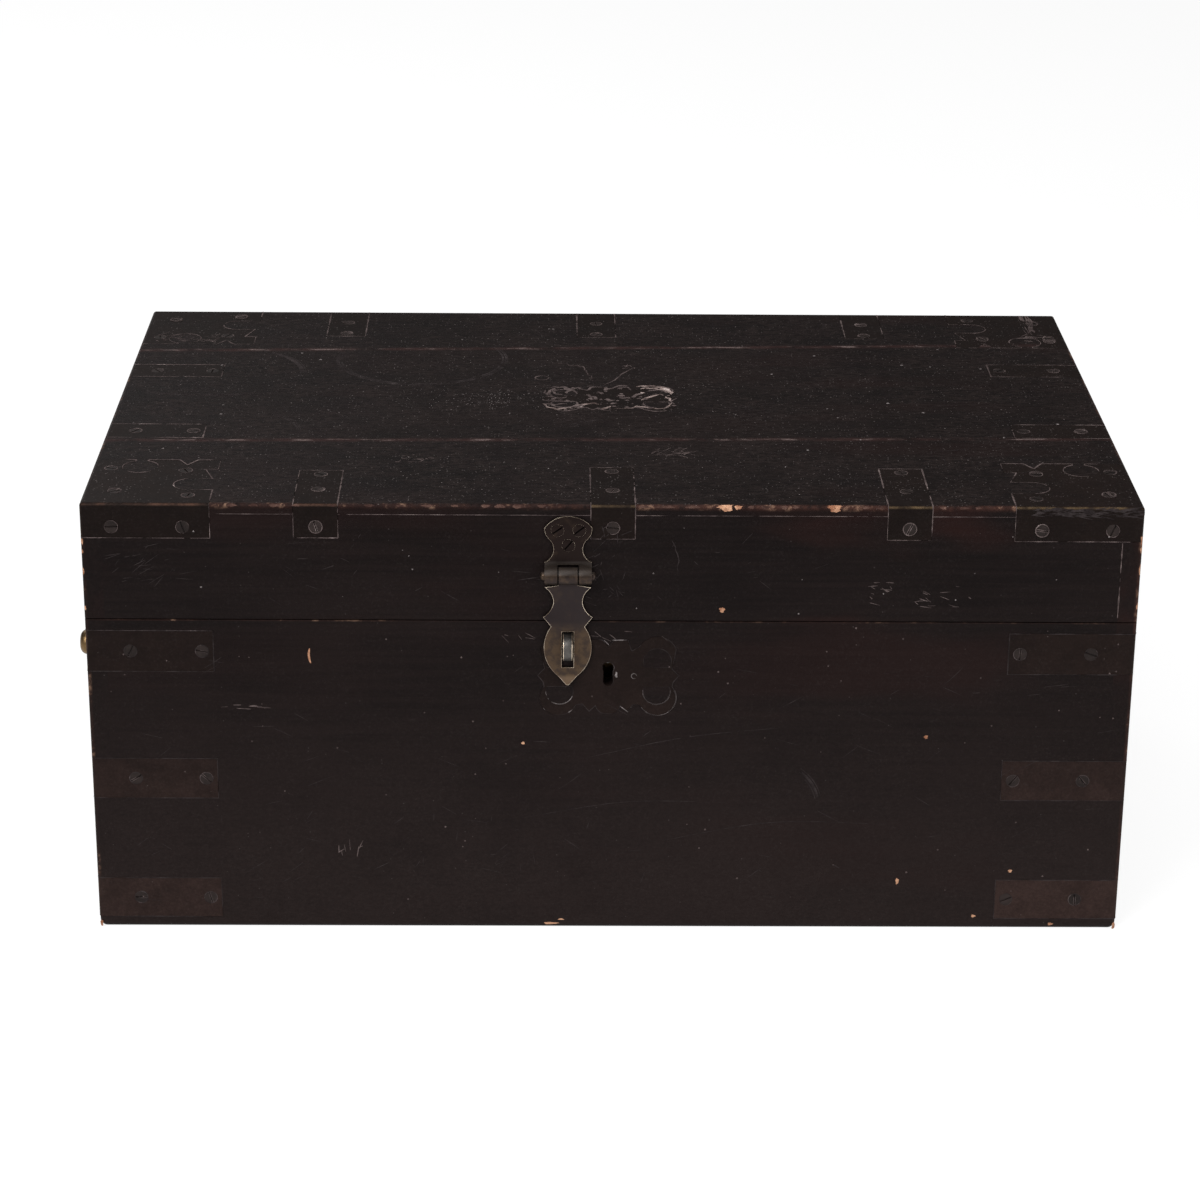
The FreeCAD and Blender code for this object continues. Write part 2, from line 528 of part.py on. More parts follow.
def corner_plate(name, side, depth, slack):
    """A lid corner's plate: a top with two flanges, bent round the three edges and cut out as
    scrollwork along its two inner edges."""
    def corner(inset_x, inset_y, fall):
        return ("(%d) * (chest_width / 2 - (%s))" % (side, inset_x),
                "(%d) * (chest_depth / 2 - (%s))" % (depth, inset_y), "chest_height - (%s)" % fall)

    def block(label, near, far):
        first, second = corner(near, near, near), corner(*far)
        low = (first[0] if side < 0 else second[0], first[1] if depth < 0 else second[1], second[2])
        high = (second[0] if side < 0 else first[0], second[1] if depth < 0 else first[1], first[2])
        return box(label, low, high)

    sizes = ("plate_width", "plate_depth", "plate_drop")
    outer = block(name + "_outer", "0", ["%s + %s" % (size, slack) for size in sizes])
    doc.recompute()
    place = FreeCAD.Vector(*[number(value) for value in corner("0", "0", "0")])
    skin = rounded(name + "_bent", outer, "edge_round",
                   lambda middle: sum(abs(middle[axis] - place[axis]) < 1e-6 for axis in range(3)) == 2)
    inner = block(name + "_inner", "brass_thickness", ["%s + slack_margin" % size for size in sizes])

    def step(*insets):
        return tuple(corner(value, "0", "0")[0] if count % 2 == 0 else corner("0", value, "0")[1]
                     for count, value in enumerate(insets))

    fall = ("chest_height - brass_thickness - slack_margin", "chest_height + slack_margin")
    ring = rod(name + "_ring", "z", "ring_notch_radius", "brass_thickness + 2 * slack_margin",
               step("ring_notch_along", "plate_depth - ring_notch_inset") + fall[:1])
    neck = prism(name + "_neck", XY, [
        step("ring_notch_along - ring_notch_neck / 2", "plate_depth - ring_notch_inset"),
        step("ring_notch_along + ring_notch_neck / 2", "plate_depth - ring_notch_inset"),
        step("ring_notch_along + ring_notch_neck / 2", "plate_depth + slack_margin"),
        step("ring_notch_along - ring_notch_neck / 2", "plate_depth + slack_margin")], *fall)
    vee = prism(name + "_vee", XY, [
        step("vee_notch_along", "plate_depth - vee_notch_depth"),
        step("vee_notch_along + vee_notch_width / 2", "plate_depth + slack_margin"),
        step("vee_notch_along - vee_notch_width / 2", "plate_depth + slack_margin")], *fall)
    loop_middle = "(loop_notch_near + loop_notch_far) / 2"
    loop_radius = "(loop_notch_far - loop_notch_near) / 2"
    loop = prism(name + "_loop", XY, [
        step("plate_width + slack_margin", "loop_notch_near"),
        step("plate_width - loop_notch_length + %s" % loop_radius, "loop_notch_near"),
        step("plate_width - loop_notch_length + %s" % loop_radius, "loop_notch_far",
             "plate_width - loop_notch_length", loop_middle),
        step("plate_width - leaf_notch_length / 4", "loop_notch_far"),
        step("plate_width - leaf_notch_length", "loop_notch_far + (plate_depth - loop_notch_far) / 2"),
        step("plate_width + slack_margin", "loop_notch_far + (plate_depth - loop_notch_far) / 2")], *fall)
    return cut(name, skin, inner, ring, neck, vee, loop)


for depth_name, depth in DEPTHS.items():
    for side_name, side in SIDES.items():
        label = "lid_corner_%s_%s" % (depth_name, side_name)
        lid_blanks[label] = corner_plate(label + "_blank", side, depth, "0")
        lid_recesses.append(corner_plate(label + "_recess", side, depth, "inlay_clearance"))
        places = [("top", along, deep, TOP) for along, deep in (
            ("ring_screw_along", "ring_screw_depth"), ("vee_notch_along", "vee_screw_depth"),
            ("loop_screw_along", "loop_screw_depth"), ("plate_screw_near", "inner_screw_depth"))]
        height = "chest_height - plate_drop + screw_end_margin"
        for inset in ("plate_screw_near", "plate_screw_far"):
            places += [(depth_name, inset, "0", height), (side_name, "0", inset, height)]
        for face, along, deep, height in places:
            lid_screw_places.append((face, "(%d) * (chest_width / 2 - %s)" % (side, along),
                                     "(%d) * (chest_depth / 2 - %s)" % (depth, deep), height,
                                     slot_turn(len(lid_screw_places))))
lid_brass_holes = screws("lid_brass_screws", lid_screw_places)
for label, blank in lid_blanks.items():
    node(cut(label, blank, lid_brass_holes), label)
lid_brass_seat = group("lid_brass_seat", lid_recesses)


# ---- hasp and staple ----------------------------------------------------------------------

HASP_GRID = 81.5


def on_lid(rise):
    """A height above the seam on a hasp that is drawn for a lid HASP_GRID high, and that is as
    tall in proportion on another lid."""
    return "seam_height + (%s) * (chest_height - seam_height) / %s" % (rise, HASP_GRID)


HASP_Y, HASP_Z = FRONT + " - hasp_knuckle_radius - hasp_play", on_lid("hasp_axis_rise")
STAPLE_TOP, STAPLE_FOOT = "seam_height - staple_top_fall", "seam_height - staple_top_fall - staple_height"


def hasp_point(*values):
    """Formulas for points given across and up, the across ones from the hasp's middle."""
    return tuple("hasp_place + (%s)" % value if count % 2 == 0 else str(value)
                 for count, value in enumerate(values))


def mirrored(right_half):
    """A right half's points followed by their mirror images, from the last one back. A step is
    (u, z) or (u, z, middle u, middle z)."""
    left_half = []
    for count in range(len(right_half) - 1, -1, -1):
        u, z = right_half[count][:2]
        bend = right_half[count + 1][2:] if count + 1 < len(right_half) else ()
        left_half.append(("-(%s)" % u, z) + (("-(%s)" % bend[0], bend[1]) if bend else ()))
    return [hasp_point(*point) for point in right_half + left_half]


def hasp_rod(name, radius, low, high):
    """A rod on the hasp's pin line between two places from its middle."""
    return rod(name, "x", radius, "(%s) - (%s)" % (high, low),
               ("hasp_place + (%s)" % low, HASP_Y, HASP_Z))


hasp_bore = hasp_rod("hasp_bore", "hasp_pin_radius + pin_clearance", "-hasp_finger_outer - slack_margin",
                     "hasp_finger_outer + slack_margin")
PLATE_FACE = FRONT + " - hasp_thickness"
fork_top = HASP_Z + " + hasp_knuckle_radius + 2 * hasp_play"
head_right = [("head_half", on_lid("hasp_top_rise - head_crown"), 0, on_lid("hasp_top_rise")),
              ("head_neck_half", on_lid("hasp_top_rise - head_neck_fall"),
               "head_curve_half", on_lid("hasp_top_rise - head_curve_fall")),
              ("hasp_finger_outer", on_lid("hasp_foot_rise"),
               "head_waist_half", on_lid("hasp_foot_rise + head_waist_rise")),
              ("hasp_finger_outer", HASP_Z),
              ("hasp_finger_inner", HASP_Z), ("hasp_finger_inner", fork_top)]
hasp_sheet = prism("hasp_sheet", XZ, mirrored(head_right), PLATE_FACE, FRONT)
hasp_plate_solid = join("hasp_plate_solid", [
    hasp_sheet,
    hasp_rod("hasp_knuckle_left", "hasp_knuckle_radius", "-hasp_finger_outer", "-hasp_finger_inner"),
    hasp_rod("hasp_knuckle_right", "hasp_knuckle_radius", "hasp_finger_inner", "hasp_finger_outer")])
top_screw_height = on_lid("hasp_top_rise - head_screw_fall")
hasp_screw_places = [("front", "hasp_place - head_screw_half", PLATE_FACE, top_screw_height, -35),
                     ("front", "hasp_place + head_screw_half", PLATE_FACE, top_screw_height, -38),
                     ("front", "hasp_place", PLATE_FACE, on_lid("hasp_top_rise - foot_screw_fall"), -50)]
hasp_holes = screws("hasp_screws", hasp_screw_places)
node(cut("hasp_plate", hasp_plate_solid, hasp_bore, hasp_holes), "hasp_plate")

SHOULDER = on_lid("leaf_shoulder_rise")
LEAF_BEND, LEAF_TIP = "seam_height - leaf_bend_fall", "seam_height - leaf_tip_fall"
leaf_right = [("hasp_knuckle_half", HASP_Z), ("hasp_knuckle_half", SHOULDER + " + leaf_shoulder_slope"),
              ("leaf_shoulder_half", SHOULDER),
              ("leaf_waist_half", on_lid("leaf_waist_rise"), "leaf_neck_half", on_lid("leaf_neck_rise")),
              ("leaf_point_half", on_lid("leaf_point_rise"), "leaf_curl_half", on_lid("leaf_curl_rise")),
              ("leaf_notch_half", "seam_height - leaf_notch_fall"),
              ("leaf_bend_half", LEAF_BEND, "leaf_belly_half", "seam_height - leaf_belly_fall"),
              ("leaf_tip_half", LEAF_TIP)]
leaf_outline = prism("hasp_leaf_outline_block", XZ, mirrored(leaf_right),
                     FRONT + " - 6 * hasp_thickness", FRONT)
leaf_back = FRONT + " - hasp_play"
leaf_front = FRONT + " - hasp_play - hasp_thickness"
tip_end = LEAF_TIP + " - slack_margin"
kick = "((leaf_tip_fall - leaf_bend_fall + slack_margin) * tan(leaf_bend_angle))"
leaf_side = prism("hasp_leaf_side", YZ, [
    (leaf_front, HASP_Z), (leaf_front, LEAF_BEND), ("%s - %s" % (leaf_front, kick), tip_end),
    ("%s - %s" % (leaf_back, kick), tip_end), (leaf_back, LEAF_BEND), (leaf_back, HASP_Z)],
    "hasp_place - leaf_point_half - slack_margin", "hasp_place + leaf_point_half + slack_margin")
leaf_sheet = doc.addObject("Part::Common", "hasp_leaf_sheet")
leaf_sheet.Base = leaf_outline
leaf_sheet.Tool = leaf_side
slot_half = "staple_width / 2 + slot_side_play"
leaf_slot = box("leaf_slot", ("hasp_place - (%s)" % slot_half, leaf_front + " - slack_margin",
                              STAPLE_FOOT + " - slot_foot_play"),
                ("hasp_place + " + slot_half, FRONT, STAPLE_TOP + " + slot_top_play"))
hasp_leaf_solid = join("hasp_leaf_solid", [leaf_sheet, hasp_rod(
    "hasp_knuckle_middle", "hasp_knuckle_radius", "-hasp_knuckle_half", "hasp_knuckle_half")])
node(cut("hasp_leaf", hasp_leaf_solid, leaf_slot, hasp_bore), "hasp_leaf")
pin_half = "hasp_finger_outer + hasp_pin_end"
hasp_pin_rod = hasp_rod("hasp_pin_rod", "hasp_pin_radius", "-(%s)" % pin_half, pin_half)
pin_ends = [number("hasp_place - (%s)" % pin_half), number("hasp_place + " + pin_half)]
node(rounded("hasp_pin_domed", hasp_pin_rod, "hasp_pin_dome",
             lambda middle: min(abs(middle.x - end) for end in pin_ends) < 1e-6), "hasp_pin")

staple_middle = STAPLE_TOP + " - staple_height / 2"
staple_nose = FRONT + " - staple_reach"
staple_neck = staple_nose + " + staple_height / 2"
staple_root = FRONT + " + staple_tang"
staple_path = [(staple_root, STAPLE_TOP), (staple_neck, STAPLE_TOP),
               (staple_neck, STAPLE_FOOT, staple_nose, staple_middle),
               (staple_root, STAPLE_FOOT), (staple_root, STAPLE_FOOT + " + staple_strip"),
               (staple_neck, STAPLE_FOOT + " + staple_strip"),
               (staple_neck, STAPLE_TOP + " - staple_strip", staple_nose + " + staple_strip", staple_middle),
               (staple_root, STAPLE_TOP + " - staple_strip")]
staple = node(prism("staple_loop", YZ, staple_path, "hasp_place - staple_width / 2",
                    "hasp_place + staple_width / 2"), "staple")
node(cut("escutcheon_plate", escutcheon, keyhole, staple), "escutcheon")


# ---- lock ---------------------------------------------------------------------------------

LOCK_FOOT, LOCK_BACK = "seam_height - lock_fall", INNER_FRONT + " + lock_depth"
LOCK_LEFT, LOCK_RIGHT = "keyhole_place - lock_half_width", "keyhole_place + lock_half_width"
CAP_BACK = LOCK_BACK + " + brass_thickness"
BOLT_FRONT = INNER_FRONT + " + lock_wall + bolt_clearance"
BOLT_BACK = BOLT_FRONT + " + bolt_thickness"
BOLT_FOOT, BOLT_TOP = "seam_height - bolt_fall", "seam_height - bolt_fall + bolt_height"
LINK_FRONT, LINK_BACK = INNER_FRONT + " + link_inset", INNER_FRONT + " + link_inset + link_depth"
LINK_FOOT = BOLT_TOP + " + link_gap"
EYE_FRONT, EYE_BACK = LINK_FRONT + " + link_wall", LINK_BACK + " - link_wall"
EYE_FOOT = LINK_FOOT + " + link_foot_wall"
EYE_TOP = EYE_FOOT + " + eye_height"


def link_place(side):
    """The middle of one link."""
    return "keyhole_place + (%d) * link_offset" % side


def about(middle, half):
    """The two ends of a stretch about its middle."""
    return "%s - (%s)" % (middle, half), "%s + (%s)" % (middle, half)


lock_shell = box("lock_shell", (LOCK_LEFT, INNER_FRONT, LOCK_FOOT), (LOCK_RIGHT, LOCK_BACK, CASE_TOP))
lock_hollow = box("lock_hollow",
                  (LOCK_LEFT + " + lock_wall", INNER_FRONT + " + lock_wall", LOCK_FOOT + " + lock_wall"),
                  (LOCK_RIGHT + " - lock_wall", LOCK_BACK + " + slack_margin", CASE_TOP + " - lock_wall"))
link_slots = []
for side_name, side in SIDES.items():
    near, far = about(link_place(side), "link_thickness / 2 + link_play")
    link_slots.append(box("link_slot_" + side_name,
                          (near, LINK_FRONT + " - link_play", CASE_TOP + " - lock_wall - slack_margin"),
                          (far, LINK_BACK + " + link_play", CASE_TOP + " + slack_margin")))
STUMP_X, STUMP_Z = "keyhole_place - stump_offset", BOLT_FOOT + " + bolt_height / 2"
stump = rod("lock_stump", "y", "stump_radius", "bolt_thickness + lock_wall + 2 * bolt_clearance",
            (STUMP_X, INNER_FRONT, STUMP_Z))
lock_screw_places = []
for side in SIDES.values():
    for height in (LOCK_FOOT + " + lock_screw_inset", CASE_TOP + " - lock_screw_inset"):
        across = "keyhole_place + (%d) * (lock_half_width - lock_screw_inset)" % side
        lock_screw_places.append(("inner_front", across, CAP_BACK, height, slot_turn(len(lock_screw_places))))
lock_screw_head = doc.addObject("Part::Cone", "lock_screw_head")
bind(lock_screw_head, {"Radius1": "lock_screw_head", "Radius2": "screw_shank_radius",
                       "Height": "lock_screw_cone"})
lock_screw_solid = join("lock_screw_solid", [lock_screw_head, rod(
    "lock_screw_shank", "z", "screw_shank_radius", "lock_depth + screw_length", ("0", "0", "0"))])
lock_screw = cut("lock_screw", lock_screw_solid, screw_slot)
lock_holes = screws("lock_screws", lock_screw_places, lock_screw, lock_screw_solid)
lock_case_shell = cut("lock_case_shell", lock_shell, lock_hollow, *link_slots)
node(cut("lock_case", join("lock_case_solid", [lock_case_shell, stump]), keyhole, lock_holes), "lock_case")
lock_cover = box("lock_cover", (LOCK_LEFT, LOCK_BACK, LOCK_FOOT), (LOCK_RIGHT, CAP_BACK, CASE_TOP))
node(cut("lock_cap", lock_cover, lock_holes), "lock_cap")
node(rod("drill_pin_rod", "y", "drill_pin_radius", "lock_depth + drill_pin_tip",
         ("keyhole_place", INNER_FRONT + " - drill_pin_tip", KEYHOLE_ROUND)), "lock_drill_pin")

# The bolt is a bar with a lug before each link. The lug's nose enters the link's eye when thrown.
NOSE_BACK = "(link_thickness / 2 + nose_gap)"
bar_left = "%s - %s - bolt_travel - lug_thickness" % (link_place(-1), NOSE_BACK)
bar_right = "%s - %s - bolt_travel" % (link_place(1), NOSE_BACK)
bolt_parts = [box("bolt_bar", (bar_left, BOLT_FRONT, BOLT_FOOT), (bar_right, BOLT_BACK, BOLT_TOP))]
lug_front, lug_back = EYE_FRONT + " + nose_side_play", EYE_BACK + " - nose_side_play"
nose_foot, nose_top = EYE_FOOT + " + nose_end_play", EYE_TOP + " - nose_end_play"
for side_name, side in SIDES.items():
    nose = "%s - %s" % (link_place(side), NOSE_BACK)
    tail = nose + " - bolt_travel - lug_thickness"
    bolt_parts.append(box("bolt_lug_" + side_name, (tail, lug_front, BOLT_FOOT),
                          (nose + " - bolt_travel", lug_back, nose_top)))
    bolt_parts.append(box("bolt_nose_" + side_name, (tail, lug_front, nose_foot), (nose, lug_back, nose_top)))
low, high = about(STUMP_Z, "stump_radius + bolt_clearance")
near, far = about(STUMP_X, "stump_radius + bolt_clearance")
guide_slot = box("bolt_guide_slot", (near + " - bolt_travel", BOLT_FRONT + " - slack_margin", low),
                 (far, BOLT_BACK + " + slack_margin", high))
talon = box("bolt_talon", ("keyhole_place - bolt_travel / 2", BOLT_FRONT + " - slack_margin",
                           BOLT_FOOT + " - slack_margin"),
            ("keyhole_place + bolt_travel / 2", BOLT_BACK + " + slack_margin", BOLT_FOOT + " + talon_depth"))
node(cut("lock_bolt", join("bolt_solid", bolt_parts), guide_slot, talon), "lock_bolt")

spring_low = BOLT_TOP + " + bolt_clearance"
spring_foot, spring_tail = "keyhole_place + spring_reach", "keyhole_place - spring_tail"
spring_middle = "keyhole_place + (spring_reach - spring_tail) / 2"
spring_top = CASE_TOP + " - lock_wall"
node(prism("spring_strip", XZ, [
    (spring_foot, spring_top), (spring_foot, spring_low + " + spring_rise"),
    (spring_tail, spring_low + " + spring_tail_rise", spring_middle, spring_low),
    (spring_tail, spring_low + " + spring_tail_rise + spring_thickness"),
    (spring_foot + " - spring_thickness", spring_low + " + spring_rise + spring_thickness",
     spring_middle, spring_low + " + spring_thickness"),
    (spring_foot + " - spring_thickness", spring_top)],
    lug_front, lug_back), "lock_spring")

link_left, link_right = about("keyhole_place", "link_plate_half")
link_parts = [
    box("link_flap", (link_left, INNER_FRONT, LID_FOOT),
        (link_right, INNER_FRONT + " + brass_thickness", LID_FOOT + " + link_plate_flap")),
    box("link_shelf", (link_left, INNER_FRONT, LID_FOOT),
        (link_right, LINK_BACK, LID_FOOT + " + brass_thickness"))]
for side_name, side in SIDES.items():
    near, far = about(link_place(side), "link_thickness / 2")
    loop = box("link_loop_" + side_name, (near, LINK_FRONT, LINK_FOOT),
               (far, LINK_BACK, LID_FOOT + " + brass_thickness"))
    near, far = about(link_place(side), "link_thickness")
    eye = box("link_eye_" + side_name, (near, EYE_FRONT, EYE_FOOT), (far, EYE_BACK, EYE_TOP))
    link_parts.append(cut("link_" + side_name, loop, eye))
link_face, link_screw_height = INNER_FRONT + " + brass_thickness", LID_FOOT + " + link_screw_rise"
link_screw_places = [("inner_front", "keyhole_place + (%d) * link_screw_offset" % step, link_face,
                      link_screw_height, slot_turn(step + 2)) for step in (-1, 0, 1)]
lid_inner_holes = screws("lid_inner_screws", hinge_screw_places["lid"] + link_screw_places)
case_hinge_holes = screws("case_hinge_screws", hinge_screw_places["case"])
node(cut("link_plate", join("link_plate_solid", link_parts), lid_inner_holes), "link_plate")
for part, label, leaf in hinge_leaves:
    node(cut(label + "_drilled", leaf, case_hinge_holes if part == "case" else lid_inner_holes), label)


# ---- end handles --------------------------------------------------------------------------

ARM_PLACE = "(handle_half_span - post_radius - bail_play - bail_radius)"
GRIP_HEIGHT = "(handle_height - bail_drop)"
handle_holes = []


def end_rod(name, side, radius, near, far, y, z):
    """A rod square to an end board, between two distances out from its outer face."""
    start = "-chest_width / 2 - (%s)" % far if side < 0 else "chest_width / 2 + (%s)" % near
    return rod(name, "x", radius, "(%s) - (%s)" % (far, near), (start, y, z))


def handle_post(side_name, depth_name):
    """One post with its rose and shank, bored for the bail, and the nut on its shank."""
    side, depth = SIDES[side_name], DEPTHS[depth_name]
    label = "%s_%s" % (side_name, depth_name)
    y = "(%d) * handle_half_span" % depth
    stem = end_rod("post_stem_" + label, side, "post_radius", "0", "post_length", y, "handle_height")
    tip = side * number("chest_width / 2 + post_length")
    knob = rounded("post_knob_" + label, stem, "post_round", lambda middle: abs(middle.x - tip) < 1e-6)
    rose = end_rod("post_rose_" + label, side, "rose_radius", "0", "rose_thickness", y, "handle_height")
    shank = end_rod("post_shank_" + label, side, "shank_radius",
                    "-board_thickness - nut_thickness - shank_end", "rose_thickness", y, "handle_height")
    inner_mouth = "(handle_half_span - post_radius - slack_margin)"
    socket_length = "(post_radius + slack_margin + 2 * pin_clearance)"
    socket = rod("post_socket_" + label, "y", "trunnion_radius + pin_clearance", socket_length,
                 ("(%d) * (chest_width / 2 + pivot_reach)" % side,
                  inner_mouth if depth > 0 else "-%s - %s" % (inner_mouth, socket_length), "handle_height"))
    post = cut("post_" + label, join("post_solid_" + label, [knob, rose, shank]), socket)
    handle_holes.append(end_rod("post_hole_" + label, side, "shank_radius", "-board_thickness - slack_margin",
                                "slack_margin", y, "handle_height"))
    inner_face = "chest_width / 2 - board_thickness"
    nut_start = "-(%s)" % inner_face if side < 0 else "%s - nut_thickness" % inner_face
    block = box("nut_block_" + label, (nut_start, "%s - nut_half" % y, "handle_height - nut_half"),
                (nut_start + " + nut_thickness", "%s + nut_half" % y, "handle_height + nut_half"))
    nut = cut("nut_" + label, block, shank)
    return post, nut


def handle_bail(side_name):
    """A bail: two trunnions, two arms, two quarter bends and a grip with a turned swelling."""
    side = SIDES[side_name]
    x = "(%d) * (chest_width / 2 + pivot_reach)" % side
    pieces = []
    for depth_name, depth in DEPTHS.items():
        label = "%s_%s" % (side_name, depth_name)
        arm_y = "(%d) * %s" % (depth, ARM_PLACE)
        reach = "(handle_half_span - %s)" % ARM_PLACE
        start = arm_y if depth > 0 else "%s - %s" % (arm_y, reach)
        pieces.append(rod("bail_trunnion_" + label, "y", "trunnion_radius", reach,
                          (x, start, "handle_height")))
        pieces.append(rod("bail_arm_" + label, "z", "bail_radius", "bail_drop - bail_bend",
                          (x, arm_y, GRIP_HEIGHT + " + bail_bend")))
        eye = doc.addObject("Part::Sphere", "bail_eye_" + label)
        pieces.append(bind(eye, {"Radius": "bail_radius", "Placement.Base.x": x, "Placement.Base.y": arm_y,
                                 "Placement.Base.z": "handle_height"}))
        bend = doc.addObject("Part::Torus", "bail_bend_" + label)
        bend.Angle3 = 90
        bend.Placement.Rotation = FreeCAD.Rotation(FreeCAD.Vector(0, depth, 0), FreeCAD.Vector(0, 0, -1),
                                                   FreeCAD.Vector(-depth, 0, 0), "XYZ")
        pieces.append(bind(bend, {"Radius1": "bail_bend", "Radius2": "bail_radius", "Placement.Base.x": x,
                                  "Placement.Base.y": "(%d) * (%s - bail_bend)" % (depth, ARM_PLACE),
                                  "Placement.Base.z": GRIP_HEIGHT + " + bail_bend"}))
    pieces.append(rod("bail_bar_" + side_name, "y", "bail_radius", "2 * (%s - bail_bend)" % ARM_PLACE,
                      (x, "bail_bend - %s" % ARM_PLACE, GRIP_HEIGHT)))
    swelling = rod("bail_swelling_" + side_name, "y", "grip_radius", "grip_length",
                   (x, "-grip_length / 2", GRIP_HEIGHT))
    half_grip = number("grip_length / 2")
    pieces.append(rounded("bail_grip_" + side_name, swelling, "grip_radius - bail_radius",
                          lambda middle: abs(abs(middle.y) - half_grip) < 1e-6))
    return join("bail_" + side_name, pieces)


for side_name in SIDES:
    posts, nuts = zip(*[handle_post(side_name, depth_name) for depth_name in DEPTHS])
    node(group("posts_" + side_name, list(posts)), "handle_posts_%s" % side_name)
    node(group("nuts_" + side_name, list(nuts)), "handle_nuts_%s" % side_name)
    node(handle_bail(side_name), "handle_bail_%s" % side_name)


# ---- boards -------------------------------------------------------------------------------

def outside_planes(middle, low_too=False):
    """How many of the chest's outer planes an edge's middle lies on."""
    on_planes = [abs(abs(middle.x) - number(RIGHT)) < 1e-6, abs(abs(middle.y) - number(BACK)) < 1e-6,
                 abs(middle.z - number(TOP)) < 1e-6, low_too and abs(middle.z) < 1e-6]
    return sum(on_planes)


def board(name, low, high, *tools):
    """A board with its outer corner edges rounded, less what is let into it."""
    blank = rounded(name + "_blank", box(name + "_plank", low, high), "edge_round",
                    lambda middle: outside_planes(middle) >= 2)
    return node(cut(name + "_cut", blank, *tools), name)


brass_and_screws = (case_brass_seat, case_strap_holes)
handle_bores = group("handle_bores", handle_holes)
node(cut("case_front_cut", box("case_front_plank", (INNER_LEFT, FRONT, "bottom_thickness"),
                               (INNER_RIGHT, INNER_FRONT, CASE_TOP)),
         *brass_and_screws, escutcheon_seat, keyhole, staple, lock_holes), "case_front")
node(cut("case_back_cut", box("case_back_plank", (INNER_LEFT, INNER_BACK, "bottom_thickness"),
                              (INNER_RIGHT, BACK, CASE_TOP)),
         *brass_and_screws, back_chamfer, *hinge_recesses["case"], case_hinge_holes), "case_back")
board("case_end_left", (LEFT, FRONT, "bottom_thickness"), (INNER_LEFT, BACK, CASE_TOP),
      *brass_and_screws, back_chamfer, handle_bores)
board("case_end_right", (INNER_RIGHT, FRONT, "bottom_thickness"), (RIGHT, BACK, CASE_TOP),
      *brass_and_screws, back_chamfer, handle_bores)
bottom_blank = rounded("case_bottom_blank", box("case_bottom_plank", (LEFT, FRONT, "0"),
                                                (RIGHT, BACK, "bottom_thickness")),
                       "bottom_round", lambda middle: outside_planes(middle, low_too=True) >= 2)
node(cut("case_bottom_cut", bottom_blank, case_brass_seat), "case_bottom")

lid_brass = (lid_brass_seat, lid_brass_holes)
node(cut("lid_rail_front_cut", box("lid_rail_front_plank", (INNER_LEFT, FRONT, LID_FOOT),
                                   (INNER_RIGHT, INNER_FRONT, TOP_UNDERSIDE)),
         *lid_brass, hasp_holes, lid_inner_holes), "lid_rail_front")
node(cut("lid_rail_back_cut", box("lid_rail_back_plank", (INNER_LEFT, INNER_BACK, LID_FOOT),
                                  (INNER_RIGHT, BACK, TOP_UNDERSIDE)),
         *lid_brass, back_chamfer, *hinge_recesses["lid"], lid_inner_holes), "lid_rail_back")
board("lid_end_left", (LEFT, FRONT, LID_FOOT), (INNER_LEFT, BACK, TOP_UNDERSIDE), *lid_brass, back_chamfer)
board("lid_end_right", (INNER_RIGHT, FRONT, LID_FOOT), (RIGHT, BACK, TOP_UNDERSIDE), *lid_brass, back_chamfer)


def front_seam(side_name, gap_side):
    """Where a top board's edge meets one end, half the gap to either side of the front seam."""
    return "front_board_%s - chest_depth / 2 + (%d) * board_gap / 2" % (side_name, gap_side)


def back_seam(side_name, gap_side):
    """The same at the back seam."""
    return "chest_depth / 2 - back_board_%s + (%d) * board_gap / 2" % (side_name, gap_side)


# Each top board's near and far edges, at its left and right ends.
TOP_BOARDS = {
    "front": ((FRONT, FRONT), (front_seam("left", -1), front_seam("right", -1))),
    "middle": ((front_seam("left", 1), front_seam("right", 1)),
               (back_seam("left", -1), back_seam("right", -1))),
    "back": ((back_seam("left", 1), back_seam("right", 1)), (BACK, BACK)),
}
for name, (near, far) in TOP_BOARDS.items():
    corners = [(LEFT, near[0]), (RIGHT, near[1]), (RIGHT, far[1]), (LEFT, far[0])]
    plank = prism("lid_top_%s_plank" % name, XY, corners, TOP_UNDERSIDE, TOP)
    blank = rounded("lid_top_%s_blank" % name, plank, "edge_round",
                    lambda middle: outside_planes(middle) >= 2)
    tools = lid_brass + ((ornament_seat,) if name == "middle" else (hasp_holes,))
    node(cut("lid_top_%s_cut" % name, blank, *tools), "lid_top_%s" % name)


# ---- checks and export --------------------------------------------------------------------

doc.recompute()
failed = [item.Name for item in doc.Objects if set(item.State) & {"Invalid", "Error"}]
if failed:
    raise RuntimeError("objects that did not rebuild: %s" % ", ".join(failed))
for name, item in nodes.items():
    if item.Shape.isNull() or not item.Shape.isValid():
        raise RuntimeError("no valid shape for %s" % name)
for name, item in nodes.items():
    item.Shape.exportStep("parts/%s.step" % name)
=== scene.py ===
import json
import math
import random

import bmesh
import bpy
from mathutils import Matrix, Vector, noise


